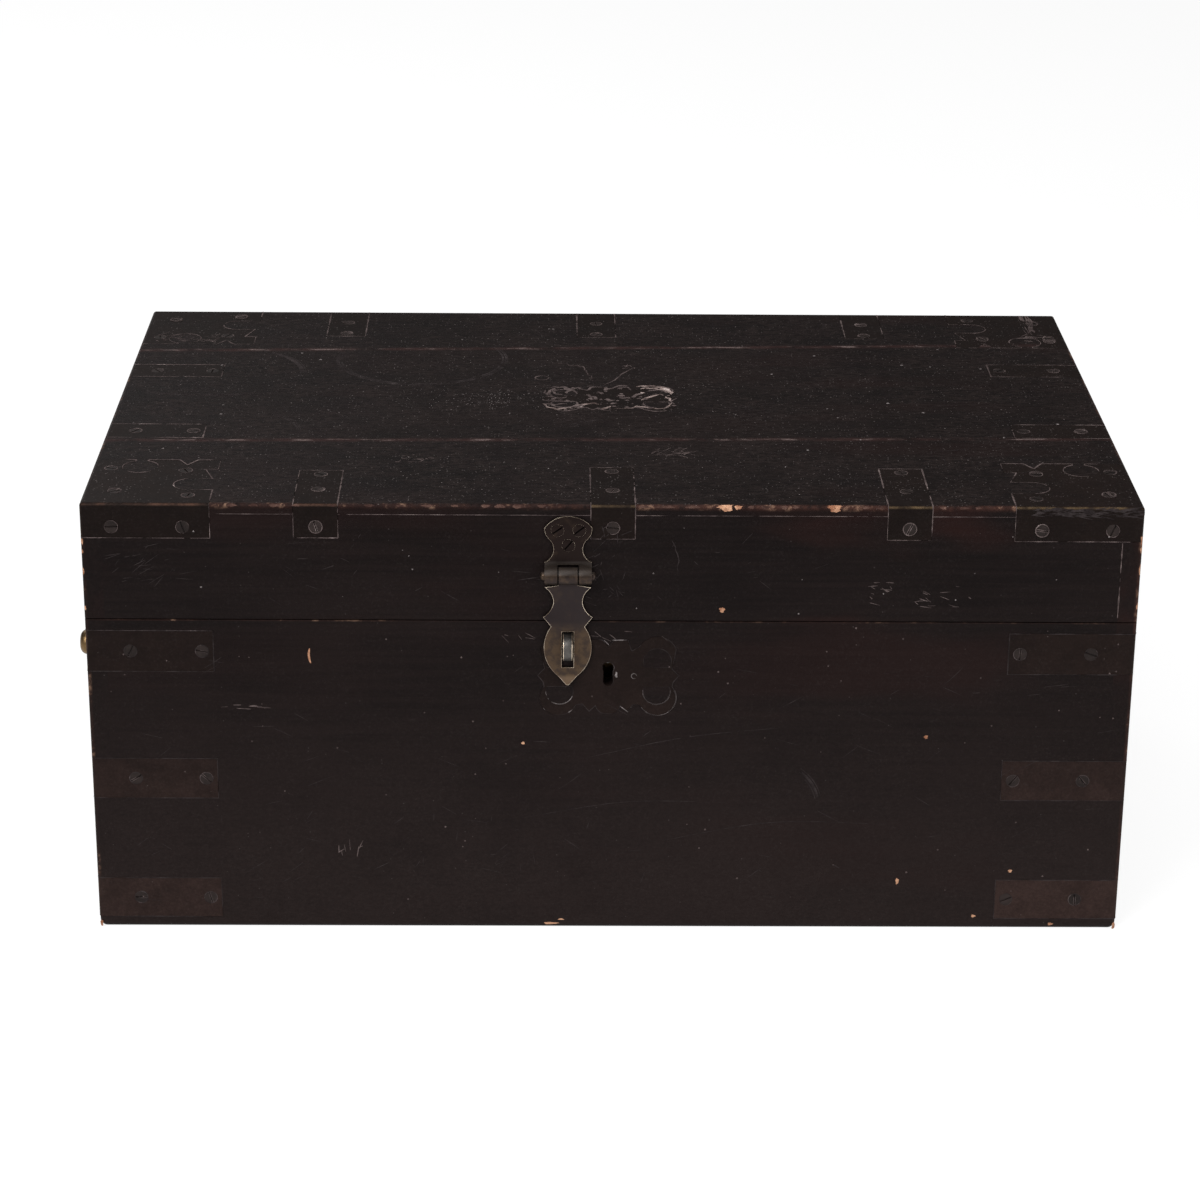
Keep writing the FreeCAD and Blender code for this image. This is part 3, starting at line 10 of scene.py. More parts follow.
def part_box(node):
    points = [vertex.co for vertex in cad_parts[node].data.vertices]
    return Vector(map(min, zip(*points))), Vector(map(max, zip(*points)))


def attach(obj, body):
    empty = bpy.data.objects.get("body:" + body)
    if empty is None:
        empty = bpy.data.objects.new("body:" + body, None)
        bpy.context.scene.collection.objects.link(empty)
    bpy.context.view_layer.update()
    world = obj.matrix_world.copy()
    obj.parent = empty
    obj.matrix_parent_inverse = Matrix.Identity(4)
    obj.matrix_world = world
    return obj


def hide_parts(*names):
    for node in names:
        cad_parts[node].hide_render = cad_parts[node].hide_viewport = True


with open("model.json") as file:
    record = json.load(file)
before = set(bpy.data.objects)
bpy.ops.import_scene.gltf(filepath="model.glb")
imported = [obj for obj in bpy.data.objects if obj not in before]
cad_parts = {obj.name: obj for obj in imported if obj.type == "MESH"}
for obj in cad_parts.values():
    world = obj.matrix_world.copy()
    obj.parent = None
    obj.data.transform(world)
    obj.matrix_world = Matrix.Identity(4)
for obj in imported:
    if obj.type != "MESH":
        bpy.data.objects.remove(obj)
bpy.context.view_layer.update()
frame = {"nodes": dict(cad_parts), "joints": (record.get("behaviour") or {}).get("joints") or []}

MM = 0.001
nodes = frame["nodes"]

# ---- sizes read from the frame ----

LID_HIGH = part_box("lid_end_right")[1]
RIGHT, BACK, TOP = LID_HIGH.x, LID_HIGH.y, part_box("lid_top_middle")[1].z
FRONT, LEFT = -BACK, -RIGHT
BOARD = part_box("case_end_left")[1].x - LEFT
TOP_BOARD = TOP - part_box("lid_top_middle")[0].z
CASE_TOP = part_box("case_front")[1].z
LID_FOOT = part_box("lid_rail_front")[0].z
SEAM = (CASE_TOP + LID_FOOT) / 2
BOTTOM_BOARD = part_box("case_bottom")[1].z
EDGE_ROUND = 2.4 * MM
# the middle of the pin that the hasp turns on
HASP = next(joint["pos_m"] for joint in frame["joints"] if joint["name"] == "hasp_hinge")

# ---- camera ----

# fitted to the corners and seams of the box in the photograph
FRAME_PIXELS = 1200
FOCAL_PIXELS = 3362
SENSOR = 36
CLIP = (0.05, 100)
PITCH, YAW, ROLL = math.radians(21.49), math.radians(0.88), math.radians(0.55)
EYE = Vector((-0.04, -2.294, 1.06))


def linked(name, data):
    made = bpy.data.objects.new(name, data)
    bpy.context.scene.collection.objects.link(made)
    return made


def make_camera():
    forward = Vector((math.sin(YAW) * math.cos(PITCH), math.cos(YAW) * math.cos(PITCH), -math.sin(PITCH)))
    across = Vector((math.cos(YAW), -math.sin(YAW), 0))
    above = across.cross(forward)
    right = math.cos(ROLL) * across + math.sin(ROLL) * above
    up = math.cos(ROLL) * above - math.sin(ROLL) * across
    data = bpy.data.cameras.new("camera")
    data.sensor_width = SENSOR
    data.lens = SENSOR * FOCAL_PIXELS / FRAME_PIXELS
    data.clip_start, data.clip_end = CLIP
    camera = linked("camera", data)
    turn = Matrix((right, up, -forward)).transposed()
    camera.matrix_world = Matrix.Translation(EYE) @ turn.to_4x4()
    bpy.context.scene.camera = camera


# ---- light and floor ----

WORLD_LEVEL = 0.16
LAMPS = [
    # name, place, size, power, aimed at
    ("key", (-1.7, -2.3, 2.3), 1.8, 78, (0, 0, 0.15)),
    ("fill", (2.3, -2.1, 1.1), 1.8, 40, (0, 0, 0.12)),
    ("overhead", (-0.3, -0.9, 2.6), 2.2, 40, (0, 0, 0.2)),
    ("rear", (-1.6, 2.6, 2.0), 1.4, 18, (0, 0, 0.15)),
]


def make_lights():
    for name, place, size, power, aim in LAMPS:
        data = bpy.data.lights.new(name, "AREA")
        data.size, data.energy = size, power
        lamp = linked(name, data)
        lamp.location = place
        lamp.rotation_mode = "QUATERNION"
        lamp.rotation_quaternion = (Vector(aim) - Vector(place)).to_track_quat("-Z", "Y")
    world = bpy.data.worlds.new("studio")
    bpy.context.scene.world = world
    world.use_nodes = True
    background = world.node_tree.nodes["Background"]
    background.inputs["Color"].default_value = (1, 1, 1, 1)
    background.inputs["Strength"].default_value = WORLD_LEVEL


class Graph:
    """Short forms for the nodes of one material."""

    def __init__(self, name):
        self.material = bpy.data.materials.new(name)
        self.material.use_nodes = True
        self.tree = self.material.node_tree
        self.shader = self.tree.nodes["Principled BSDF"]
        where = self.tree.nodes.new("ShaderNodeTexCoord")
        self.place = where.outputs["Object"]

    def put(self, socket, value):
        if isinstance(value, bpy.types.NodeSocket):
            self.tree.links.new(value, socket)
        else:
            socket.default_value = value

    def node(self, kind, settings=None, **values):
        made = self.tree.nodes.new(kind)
        for key, value in (settings or {}).items():
            setattr(made, key, value)
        for key, value in values.items():
            self.put(made.inputs[key.replace("_", " ")], value)
        return made

    def math(self, operation, *values):
        made = self.node("ShaderNodeMath", {"operation": operation})
        for socket, value in zip(made.inputs, values):
            self.put(socket, value)
        return made.outputs[0]

    def chain(self, operation, values):
        total = values[0]
        for value in values[1:]:
            total = self.math(operation, total, value)
        return total

    def add(self, *values):
        return self.chain("ADD", values)

    def times(self, *values):
        return self.chain("MULTIPLY", values)

    def highest(self, *values):
        return self.chain("MAXIMUM", values)

    def gap(self, value, place):
        """How far a value is from a place, on either side."""
        return self.math("ABSOLUTE", self.math("SUBTRACT", value, place))

    def stretch(self, scales):
        made = self.node("ShaderNodeVectorMath", {"operation": "MULTIPLY"})
        self.put(made.inputs[0], self.place)
        self.put(made.inputs[1], scales)
        return made.outputs[0]

    def noise(self, scales, detail=3.0, roughness=0.5, distortion=0.0):
        """Noise from about 0 to 1, with its own scale along each axis, in cycles per metre."""
        made = self.node("ShaderNodeTexNoise", Vector=self.stretch(scales), Scale=1.0, Detail=detail,
                         Roughness=roughness, Distortion=distortion)
        return made.outputs["Fac"]

    def even_noise(self, scale, detail=3.0, roughness=0.5):
        """Noise with one scale along all three axes."""
        return self.noise((scale, scale, scale), detail, roughness)

    def cells(self, scales):
        return self.node("ShaderNodeTexVoronoi", Vector=self.stretch(scales), Scale=1.0).outputs

    def ramp(self, value, low, high, first=0.0, last=1.0):
        """A smooth step from first at low to last at high."""
        made = self.node("ShaderNodeMapRange", {"interpolation_type": "SMOOTHSTEP"}, Value=value,
                         From_Min=low, From_Max=high, To_Min=first, To_Max=last)
        return made.outputs[0]

    def mix(self, factor, first, second):
        made = self.node("ShaderNodeMix", {"data_type": "RGBA"})
        self.put(made.inputs[0], factor)
        for socket, value in ((made.inputs[6], first), (made.inputs[7], second)):
            self.put(socket, (*value, 1) if isinstance(value, tuple) else value)
        return made.outputs[2]

    def axes(self, vector=None):
        made = self.node("ShaderNodeSeparateXYZ")
        self.put(made.inputs[0], vector or self.place)
        return made.outputs

    def bump(self, height, distance, strength=1.0):
        made = self.node("ShaderNodeBump", Height=height, Distance=distance, Strength=strength)
        return made.outputs["Normal"]

    def finish(self, colour, roughness, normal, specular, metallic=0.0):
        values = {"Base Color": colour, "Roughness": roughness, "Normal": normal, "Metallic": metallic,
                  "Specular IOR Level": specular}
        for name, value in values.items():
            self.put(self.shader.inputs[name], value)
        return self.material


FLOOR_REACH = 30
# what the floor gives the chest, what a shadow darkens, and what glows by itself
FLOOR_BOUNCE = 0.7
FLOOR_SHADE = 0.22
FLOOR_GLOW = 0.87


def diffuse(graph, level):
    return graph.node("ShaderNodeBsdfDiffuse", Color=(level, level, level, 1))


def make_floor():
    """A pale floor that keeps a soft shadow, and that eyes and reflections see as white."""
    data = bpy.data.meshes.new("floor")
    corners = [(x * FLOOR_REACH, y * FLOOR_REACH, 0) for x, y in ((-1, -1), (1, -1), (1, 1), (-1, 1))]
    data.from_pydata(corners, [], [(0, 1, 2, 3)])
    floor = linked("floor", data)
    graph = Graph("floor")
    tree = graph.tree
    path = graph.node("ShaderNodeLightPath").outputs
    seen = graph.highest(path["Is Camera Ray"], path["Is Glossy Ray"], path["Is Transmission Ray"])
    bounce, shade = diffuse(graph, FLOOR_BOUNCE), diffuse(graph, FLOOR_SHADE)
    glow = graph.node("ShaderNodeEmission", Color=(1, 1, 1, 1), Strength=FLOOR_GLOW)
    both = graph.node("ShaderNodeAddShader")
    tree.links.new(shade.outputs[0], both.inputs[0])
    tree.links.new(glow.outputs[0], both.inputs[1])
    choice = graph.node("ShaderNodeMixShader")
    tree.links.new(seen, choice.inputs[0])
    tree.links.new(bounce.outputs[0], choice.inputs[1])
    tree.links.new(both.outputs[0], choice.inputs[2])
    tree.links.new(choice.outputs[0], tree.nodes["Material Output"].inputs["Surface"])
    tree.nodes.remove(graph.shader)
    data.materials.append(graph.material)


# ---- masks that several materials share ----

X, Y, Z = 0, 1, 2
ENDS, LONG_SIDES = (LEFT, RIGHT), (FRONT, BACK)
FACE_MARGIN = 0.4 * MM
TOP_MARGIN = 0.5 * MM


def off_line(graph, first, first_place, second, second_place):
    """Distance from the line where two planes meet, such as one edge of the box."""
    gaps = [graph.math("SUBTRACT", graph.axes()[axis], place)
            for axis, place in ((first, first_place), (second, second_place))]
    squares = [graph.math("MULTIPLY", gap, gap) for gap in gaps]
    return graph.math("SQRT", graph.add(*squares))


def near(graph, distance, reach):
    """1 on the line and 0 past the reach."""
    return graph.ramp(distance, 0, reach, 1, 0)


def worn_lines(graph, first, first_places, second, second_places, reach, strength=1.0):
    """Masks for wear along the edges where planes across two axes meet."""
    return [graph.times(near(graph, off_line(graph, first, place, second, other), reach), strength)
            for place in first_places for other in second_places]


def on_upper_face(graph):
    """1 on the flat top and 0 elsewhere."""
    return graph.math("GREATER_THAN", graph.axes()[Z], TOP - TOP_MARGIN)


def inside(graph):
    """1 on faces that only an open lid shows."""
    x, y, z = graph.axes()
    flat = graph.math("LESS_THAN", graph.math("ABSOLUTE", x), RIGHT - BOARD + FACE_MARGIN)
    deep = graph.math("LESS_THAN", graph.math("ABSOLUTE", y), BACK - BOARD + FACE_MARGIN)
    above = graph.math("GREATER_THAN", z, BOTTOM_BOARD - FACE_MARGIN)
    below = graph.math("LESS_THAN", z, TOP - TOP_BOARD + FACE_MARGIN)
    return graph.times(flat, deep, above, below)


def dust(graph, spacing, radius, share, flat=1.0):
    """Small round specks, some fainter than others, on a share of the cells of a grid.

    With flat at 0 the cells are columns, so that the specks on the top are whole.
    """
    cells = graph.cells((1 / spacing, 1 / spacing, flat / spacing))
    picked, strength, _ = graph.axes(cells["Color"])
    chosen = graph.math("GREATER_THAN", picked, 1 - share)
    speck = graph.ramp(cells["Distance"], 0.6 * radius / spacing, radius / spacing, 1, 0)
    return graph.times(speck, chosen, graph.ramp(strength, 0, 1, 0.35, 1))


def grit(graph, upward):
    """A thin share of pale dust in grains, specks and drifts, most of it on the top."""
    grains = graph.ramp(graph.even_noise(560, 5, 0.8), 0.5, 0.68)
    drifts = graph.ramp(graph.noise((34, 60, 34), 5, 0.7), 0.36, 0.66, 0.3, 1)
    powdery = graph.times(grains, graph.ramp(upward, 0, 1, 0.016, 0.03))
    specks = graph.times(dust(graph, 2.4 * MM, 0.52 * MM, 0.5, 0), upward, 0.32)
    return graph.times(drifts, graph.highest(powdery, specks))


# ---- materials ----
# Noise scales are cycles per metre. The limits of a ramp are noise levels, or places in metres.

LACQUER_DARK = (0.0034, 0.0022, 0.0022)
LACQUER_LIGHT = (0.0082, 0.0052, 0.0049)
LACQUER_RED = (0.017, 0.006, 0.005)
FILM_AND_LIGHT = (0.017, 0.0116, 0.0107)
RAW_EDGE = (0.088, 0.036, 0.026)
RAW_WOOD = (0.5, 0.3, 0.2)
SEAM_RED = (0.038, 0.017, 0.0155)
SEAM_PALE = (0.22, 0.165, 0.155)
DUST = (0.44, 0.38, 0.37)
INSIDE_DARK = (0.05, 0.026, 0.015)
INSIDE_LIGHT = (0.115, 0.062, 0.036)
# where each seam of the top runs: its depth at the middle, and its slant
SEAMS = [(-86.0 * MM, 0.0171), (128.0 * MM, 0.0343)]
# how far a seam's line wanders, and how far its filler and its pale stretches reach from it
SEAM_WANDER, FILLER_REACH, PALE_REACH = 7 * MM, 6.0 * MM, 2.6 * MM


def grain_scales(axis, across, along):
    return tuple(along if count == axis else across for count in range(3))


def dust_and_floor_light(graph):
    """How greyed the outside is by dust and hands, with painted floor light in the same film: most at the
    foot, less and less toward the top.
    """
    z = graph.axes()[Z]
    low = graph.ramp(z, 0, CASE_TOP, 0.92, 0.22)
    return graph.math("MULTIPLY", low, graph.ramp(z, CASE_TOP, TOP, 1, 0.35))


def lacquer_film_and_light(graph, axis, upward, patchy, coarse):
    """How strongly dust and rubbing grey the lacquer, with painted floor light on the sides and a painted
    sheen on the top: a fine weave on the sides, grains on the top.
    """
    weave = graph.noise(grain_scales(axis, 620, 360), 5, 0.8)
    weave = graph.ramp(weave, 0.36, 0.64, 0.72, 1.2)
    sides = graph.times(dust_and_floor_light(graph), graph.ramp(patchy, 0.15, 0.7, 0.62, 1), weave)
    top = graph.times(upward, graph.ramp(patchy, 0.3, 0.7, 0.08, 0.5), coarse)
    return graph.highest(sides, top)


def worn_edges(graph, runs, fine):
    """How worn the lacquer is along the arrises, and where the wood is bare, both in runs."""
    x = graph.axes()[X]
    toward_left = graph.ramp(x, LEFT, 0, 0.8, 0.18)
    edges = worn_lines(graph, Y, [FRONT], Z, [TOP], 4.4 * MM)
    edges += worn_lines(graph, Y, [BACK], Z, [TOP], 3.2 * MM)
    edges += worn_lines(graph, X, ENDS, Z, [TOP], 3.2 * MM)
    edges += worn_lines(graph, X, ENDS, Y, LONG_SIDES, 3.4 * MM, 0.9)
    edges += worn_lines(graph, Y, LONG_SIDES, Z, [CASE_TOP], 1.2 * MM, toward_left)
    edges += worn_lines(graph, Y, LONG_SIDES, Z, [0.0], 2.2 * MM, 0.75)
    edges += worn_lines(graph, X, ENDS, Z, [0.0, CASE_TOP, LID_FOOT], 1.6 * MM, 0.8)
    edge = graph.highest(*edges)
    more_at_right = graph.ramp(x, -0.12, 0.06, 0.4, 0.9)
    worn = graph.times(edge, graph.ramp(graph.add(runs, graph.times(fine, 0.35)), 0.46, 0.8), more_at_right)
    bare = graph.times(edge, graph.ramp(graph.add(runs, graph.times(fine, 0.5)), 0.8, 0.96))
    return worn, bare


def with_seams(graph, colour, upward, runs):
    """The seams of the top have a reddish filler, pale in broken stretches."""
    x, y, _ = graph.axes()
    tatters = graph.noise((70, 300, 70), 6, 0.8)
    wander = graph.times(graph.math("SUBTRACT", tatters, 0.5), SEAM_WANDER)
    breaks = graph.ramp(graph.noise((26, 90, 26), 6, 0.8), 0.49, 0.63)
    for middle, slant in SEAMS:
        past = graph.math("SUBTRACT", graph.math("SUBTRACT", y, middle), graph.times(x, slant))
        line = graph.math("ABSOLUTE", graph.add(past, wander))
        filler = graph.times(near(graph, line, FILLER_REACH), upward, graph.ramp(runs, 0.34, 0.6))
        colour = graph.mix(graph.times(filler, 0.65), colour, SEAM_RED)
        pale = graph.times(near(graph, line, PALE_REACH), upward, breaks)
        colour = graph.mix(graph.times(pale, 0.8), colour, SEAM_PALE)
    return colour


def lacquered(name, axis):
    """Worn, nearly black lacquer on a board whose grain runs along one axis."""
    graph = Graph(name)
    x, _, z = graph.axes()
    upward, within = on_upper_face(graph), inside(graph)
    streak = graph.noise(grain_scales(axis, 330, 9), 4, 0.6, distortion=0.4)
    pores = graph.noise(grain_scales(axis, 1500, 60), 2)
    broad = graph.noise((7, 9, 11), 4, 0.55)
    patchy = graph.noise((22, 26, 22), 7, 0.62)
    coarse = graph.noise(grain_scales(axis, 300, 120), 6, 0.8)
    coarse = graph.ramp(coarse, 0.42, 0.58, 0, 2.3)
    runs, fine = graph.even_noise(38, 5, 0.7), graph.even_noise(240)

    # the lacquer itself, redder toward the right, on the lid and under the top
    tone = graph.add(graph.times(streak, 0.55), graph.times(broad, 0.45))
    colour = graph.mix(graph.ramp(tone, 0.33, 0.68), LACQUER_DARK, LACQUER_LIGHT)
    red = graph.ramp(graph.noise(grain_scales(axis, 16, 5)), 0.48, 0.66)
    redder = graph.times(graph.ramp(x, 0.02, 0.16, 0.3, 1), graph.ramp(z, CASE_TOP, LID_FOOT, 0.45, 1),
                         graph.ramp(z, TOP - 2 * MM, TOP, 1, 0.4))
    colour = graph.mix(graph.times(red, redder, 0.8), colour, LACQUER_RED)

    # what lies on it, and where it is gone
    # the grey film: dust, with painted floor light low on the sides and a painted sheen on the top
    colour = graph.mix(lacquer_film_and_light(graph, axis, upward, patchy, coarse), colour, FILM_AND_LIGHT)
    colour = graph.mix(grit(graph, upward), colour, DUST)
    worn, bare = worn_edges(graph, runs, fine)
    colour = graph.mix(graph.times(worn, 0.6), colour, RAW_EDGE)
    colour = graph.mix(graph.times(bare, 0.45), colour, RAW_WOOD)
    colour = with_seams(graph, colour, upward, runs)
    specks = graph.times(dust(graph, 7 * MM, 0.5 * MM, 0.45), graph.ramp(upward, 0, 1, 0.1, 0.6))
    colour = graph.mix(graph.times(specks, graph.ramp(patchy, 0.3, 0.6, 0.35, 1)), colour, DUST)

    bare_boards = graph.mix(graph.ramp(tone, 0.3, 0.7), INSIDE_DARK, INSIDE_LIGHT)
    colour = graph.mix(within, colour, bare_boards)
    roughness = graph.add(0.36, graph.times(patchy, 0.26), graph.times(streak, 0.1),
                          graph.times(within, 0.15))
    height = graph.add(graph.times(streak, 0.5), graph.times(pores, 0.35), graph.times(coarse, 0.3),
                       graph.times(worn, -0.8))
    return graph.finish(colour, roughness, graph.bump(height, 0.12 * MM, 0.6), specular=0.055)


BRASS_DARK = (0.0032, 0.0019, 0.0016)
BRASS_BROWN = (0.0068, 0.004, 0.0032)
BRASS_FILM_AND_LIGHT = (0.032, 0.0188, 0.016)
BRASS_RUBBED = (0.26, 0.17, 0.085)
BRASS_REDDENED = (0.2, 0.098, 0.062)


def dark_strap_brass():
    """Flush brass under old lacquer, rubbed through to yellow along the bends."""
    graph = Graph("dark_brass")
    x, upward = graph.axes()[X], on_upper_face(graph)
    broad = graph.even_noise(24, 5, 0.6)
    brushed = graph.noise((60, 700, 700))
    tone = graph.add(graph.times(broad, 0.7), graph.times(brushed, 0.3))
    colour = graph.mix(graph.ramp(tone, 0.32, 0.7), BRASS_DARK, BRASS_BROWN)
    patchy = graph.even_noise(70, 6, 0.65)
    grains = graph.ramp(graph.even_noise(620, 5, 0.8), 0.36, 0.64, 0.78, 1.2)
    # the film: dust, with painted floor light toward the foot and a painted sheen on the top
    level = graph.highest(dust_and_floor_light(graph), graph.times(upward, 0.16))
    right_side = graph.ramp(x, 0.1, 0.3, 0.9, 1.15)
    film = graph.times(level, graph.ramp(patchy, 0.2, 0.75, 0.5, 1), grains, right_side)
    colour = graph.mix(film, colour, BRASS_FILM_AND_LIGHT)
    colour = graph.mix(grit(graph, upward), colour, DUST)

    # rubbed bends, which the wax has reddened at the left
    runs = graph.even_noise(45, 4, 0.65)
    edges = worn_lines(graph, Y, LONG_SIDES, Z, [TOP], 2.1 * MM)
    edges += worn_lines(graph, X, ENDS, Z, [TOP], 1.7 * MM)
    edges += worn_lines(graph, X, ENDS, Y, LONG_SIDES, 1.6 * MM, 0.7)
    rubbed = graph.times(graph.highest(*edges), graph.ramp(runs, 0.36, 0.62),
                         graph.ramp(patchy, 0.35, 0.6, 0.4, 1))
    rubbed_colour = graph.mix(graph.ramp(x, -0.12, -0.02), BRASS_REDDENED, BRASS_RUBBED)
    colour = graph.mix(graph.times(rubbed, 0.62), colour, rubbed_colour)
    colour = graph.mix(graph.times(dust(graph, 6 * MM, 0.33 * MM, 0.25), 0.3), colour, DUST)
    roughness = graph.add(0.4, graph.times(broad, 0.25), graph.times(rubbed, -0.12))
    normal = graph.bump(graph.add(graph.times(broad, 0.6), graph.times(brushed, 0.3)), 0.15 * MM, 0.5)
    return graph.finish(colour, roughness, normal, specular=0.06)


HASP_BROWN = (0.019, 0.0132, 0.012)
HASP_GREY = (0.032, 0.025, 0.025)
HASP_YELLOW = (0.082, 0.055, 0.036)
HASP_BARREL_AND_GLINT = (0.08, 0.055, 0.039)
HASP_PALE = (0.2, 0.135, 0.088)
CREASE_PAINTED_LIGHT = (0.025, 0.019, 0.016)
KNUCKLE_GAP_SHADE = (0.006, 0.0045, 0.004)
KNUCKLE_GAP = 6.7 * MM
# heights between which the leaf turns yellow and its bent tip begins
YELLOW_FADE = (SEAM - 9 * MM, SEAM + 5 * MM)
TIP_FADE = (SEAM - 40.5 * MM, SEAM - 37.5 * MM)
# how far the barrel reaches from the pin, and the painted light over the crease from its own height over
# the pin
BARREL_FADE = (5.6 * MM, 6.4 * MM)
CREASE_RISE = 5.5 * MM
CREASE_FADE = (2.0 * MM, 4.5 * MM)


def scratched(graph, broad, fine):
    """A metal's fine scratches and dents."""
    return graph.bump(graph.add(graph.times(broad, 0.7), graph.times(fine, 0.3)), 0.1 * MM, 0.5)


def hasp_metal():
    """Antique brass: brown over the pin, grey under it, yellower at the pin and below the seam; the pin's
    yellow is partly a painted highlight, with painted shade in the knuckle gaps and painted light over the
    crease above the pin.
    """
    graph = Graph("hasp_brass")
    x, _, z = graph.axes()
    broad = graph.even_noise(60, 5, 0.6)
    fine = graph.even_noise(500)
    mottle = graph.even_noise(190, 4, 0.65)
    low = graph.ramp(graph.add(z, graph.times(broad, 8 * MM)), *YELLOW_FADE, 1, 0)
    tip = graph.ramp(z, *TIP_FADE, 1, 0)
    barrel = graph.ramp(graph.gap(z, HASP[Z]), *BARREL_FADE, 1, 0)
    above = graph.ramp(z, HASP[Z], HASP[Z] + 3 * MM)
    colour = graph.mix(above, HASP_GREY, HASP_BROWN)
    colour = graph.mix(graph.times(low, graph.ramp(mottle, 0.36, 0.6, 0.35, 1)), colour, HASP_YELLOW)
    # the barrel's yellower brass, partly a painted highlight on the knuckles
    colour = graph.mix(graph.times(barrel, graph.ramp(mottle, 0.38, 0.64, 0.15, 0.75)), colour, HASP_BARREL_AND_GLINT)
    colour = graph.mix(graph.times(tip, 0.55), colour, HASP_PALE)
    colour = graph.mix(graph.times(graph.ramp(broad, 0.5, 0.72), 0.3), colour, HASP_YELLOW)
    # painted light: a pale, less metallic band over the crease between the plate and the barrel lightens
    # the shade there
    crease = graph.ramp(graph.gap(z, HASP[Z] + CREASE_RISE), *CREASE_FADE, 1, 0)
    colour = graph.mix(graph.times(crease, 0.85), colour, CREASE_PAINTED_LIGHT)
    # painted shade in the gaps between the knuckles
    off_gap = graph.gap(graph.gap(x, HASP[X]), KNUCKLE_GAP)
    gaps = graph.times(graph.ramp(off_gap, 0.35 * MM, 0.75 * MM, 1, 0), barrel)
    colour = graph.mix(graph.times(gaps, 0.9), colour, KNUCKLE_GAP_SHADE)
    roughness = graph.add(0.26, graph.times(broad, 0.25), graph.times(fine, 0.08))
    # less metal where the crease's painted light lies
    metallic = graph.ramp(crease, 0, 1, 1, 0.25)
    return graph.finish(colour, roughness, scratched(graph, broad, fine), specular=0.2, metallic=metallic)


def aged_metal(name, dark, light, rough, metallic=1.0):
    """A plain aged metal, mottled and lightly scratched, and less of a metal where wax covers it."""
    graph = Graph(name)
    broad = graph.even_noise(70, 5, 0.6)
    fine = graph.even_noise(600)
    tone = graph.add(graph.times(broad, 0.8), graph.times(fine, 0.2))
    colour = graph.mix(graph.ramp(tone, 0.35, 0.68), dark, light)
    roughness = graph.add(rough, graph.times(broad, 0.25))
    return graph.finish(colour, roughness, scratched(graph, broad, fine), specular=0.15, metallic=metallic)


def powder(name, dark, light, bright):
    """Wax, dust or bare fibre, and also painted highlights and painted shade: matt, and mottled from dark
    to bright.
    """
    graph = Graph(name)
    tone = graph.even_noise(95, 5, 0.7)
    colour = graph.mix(graph.ramp(tone, 0.38, 0.6), dark, light)
    colour = graph.mix(graph.ramp(tone, 0.6, 0.74), colour, bright)
    return graph.finish(colour, 0.8, graph.bump(graph.even_noise(900), 0.08 * MM), specular=0.05)


LACQUER_ALONG, LACQUER_ACROSS = lacquered("lacquer_along_x", X), lacquered("lacquer_along_y", Y)
STRAP_BRASS, HASP_BRASS = dark_strap_brass(), hasp_metal()
# rubbed brass whose pale matt share also stands for painted highlights on the hasp's edges
RUBBED_BRASS_AND_GLINT = aged_metal("rubbed_brass", (0.2, 0.145, 0.105), (0.88, 0.74, 0.58), 0.22, 0.85)
BRIGHT_BRASS = aged_metal("bright_brass", (0.1, 0.062, 0.028), (0.26, 0.17, 0.085), 0.3)
SCREW_METAL = aged_metal("tarnished_screws", (0.011, 0.0074, 0.0066), (0.025, 0.0172, 0.0155), 0.45, 0.12)
# painted shade for the floors of the screw slots
SLOT_SHADE = powder("slot_dirt", (0.002, 0.0015, 0.0014), (0.0045, 0.0034, 0.0032), (0.01, 0.008, 0.007))
STAPLE_METAL = aged_metal("staple_metal", (0.04, 0.038, 0.036), (0.12, 0.112, 0.104), 0.38)
LOCK_STEEL = aged_metal("lock_steel", (0.1, 0.095, 0.09), (0.24, 0.23, 0.22), 0.35)
# dust in gaps, scratches and specks, also used for painted highlights on strap edges and screw rims
GAP_DUST_AND_GLINT = powder("gap_dust", (0.046, 0.034, 0.033), (0.115, 0.088, 0.084), (0.34, 0.28, 0.27))
# pale dust, also used for painted highlights on the escutcheon
PALE_DUST_AND_GLINT = powder("pale_dust", (0.085, 0.072, 0.07), (0.2, 0.175, 0.172), (0.52, 0.48, 0.47))
FAINT_DUST = powder("faint_dust", (0.017, 0.013, 0.013), (0.034, 0.027, 0.027), (0.08, 0.066, 0.066))
BARE_WOOD = powder("bare_wood", (0.24, 0.105, 0.06), (0.5, 0.28, 0.175), (0.74, 0.52, 0.38))
WORN_WOOD = powder("worn_wood", (0.034, 0.017, 0.014), (0.08, 0.044, 0.035), (0.22, 0.145, 0.115))
# pale lifted flakes, also used for painted highlights on the ornament
FLAKES_AND_GLINTS = powder("flaked_lacquer", (0.085, 0.06, 0.054), (0.3, 0.23, 0.21), (0.7, 0.6, 0.57))


def set_materials():
    by_slot = {"dark_brass": STRAP_BRASS, "hasp_brass": HASP_BRASS, "bright_brass": BRIGHT_BRASS,
               "tarnished_screws": SCREW_METAL, "lock_steel": LOCK_STEEL}
    for name, thing in nodes.items():
        slot = thing.material_slots[0]
        kind = slot.material.name.split(".")[0]
        if kind == "lacquered_wood":
            slot.material = LACQUER_ACROSS if "_end_" in name else LACQUER_ALONG
        else:
            slot.material = by_slot[kind]


# ---- shapes on the outer skin ----

# the corner of the box that the edge rounding is rolled round
CORE_X, CORE_Y, CORE_Z = RIGHT - EDGE_ROUND, BACK - EDGE_ROUND, TOP - EDGE_ROUND
SKIN_TOLERANCE = 0.05 * MM
SKIN_LIFT = 0.03 * MM
LAYER_LIFT = 0.0004 * MM
TOP_WIDENING = 0.9
STEP = 1.2 * MM
SHORTEST = 1e-7
WELD = 1e-6
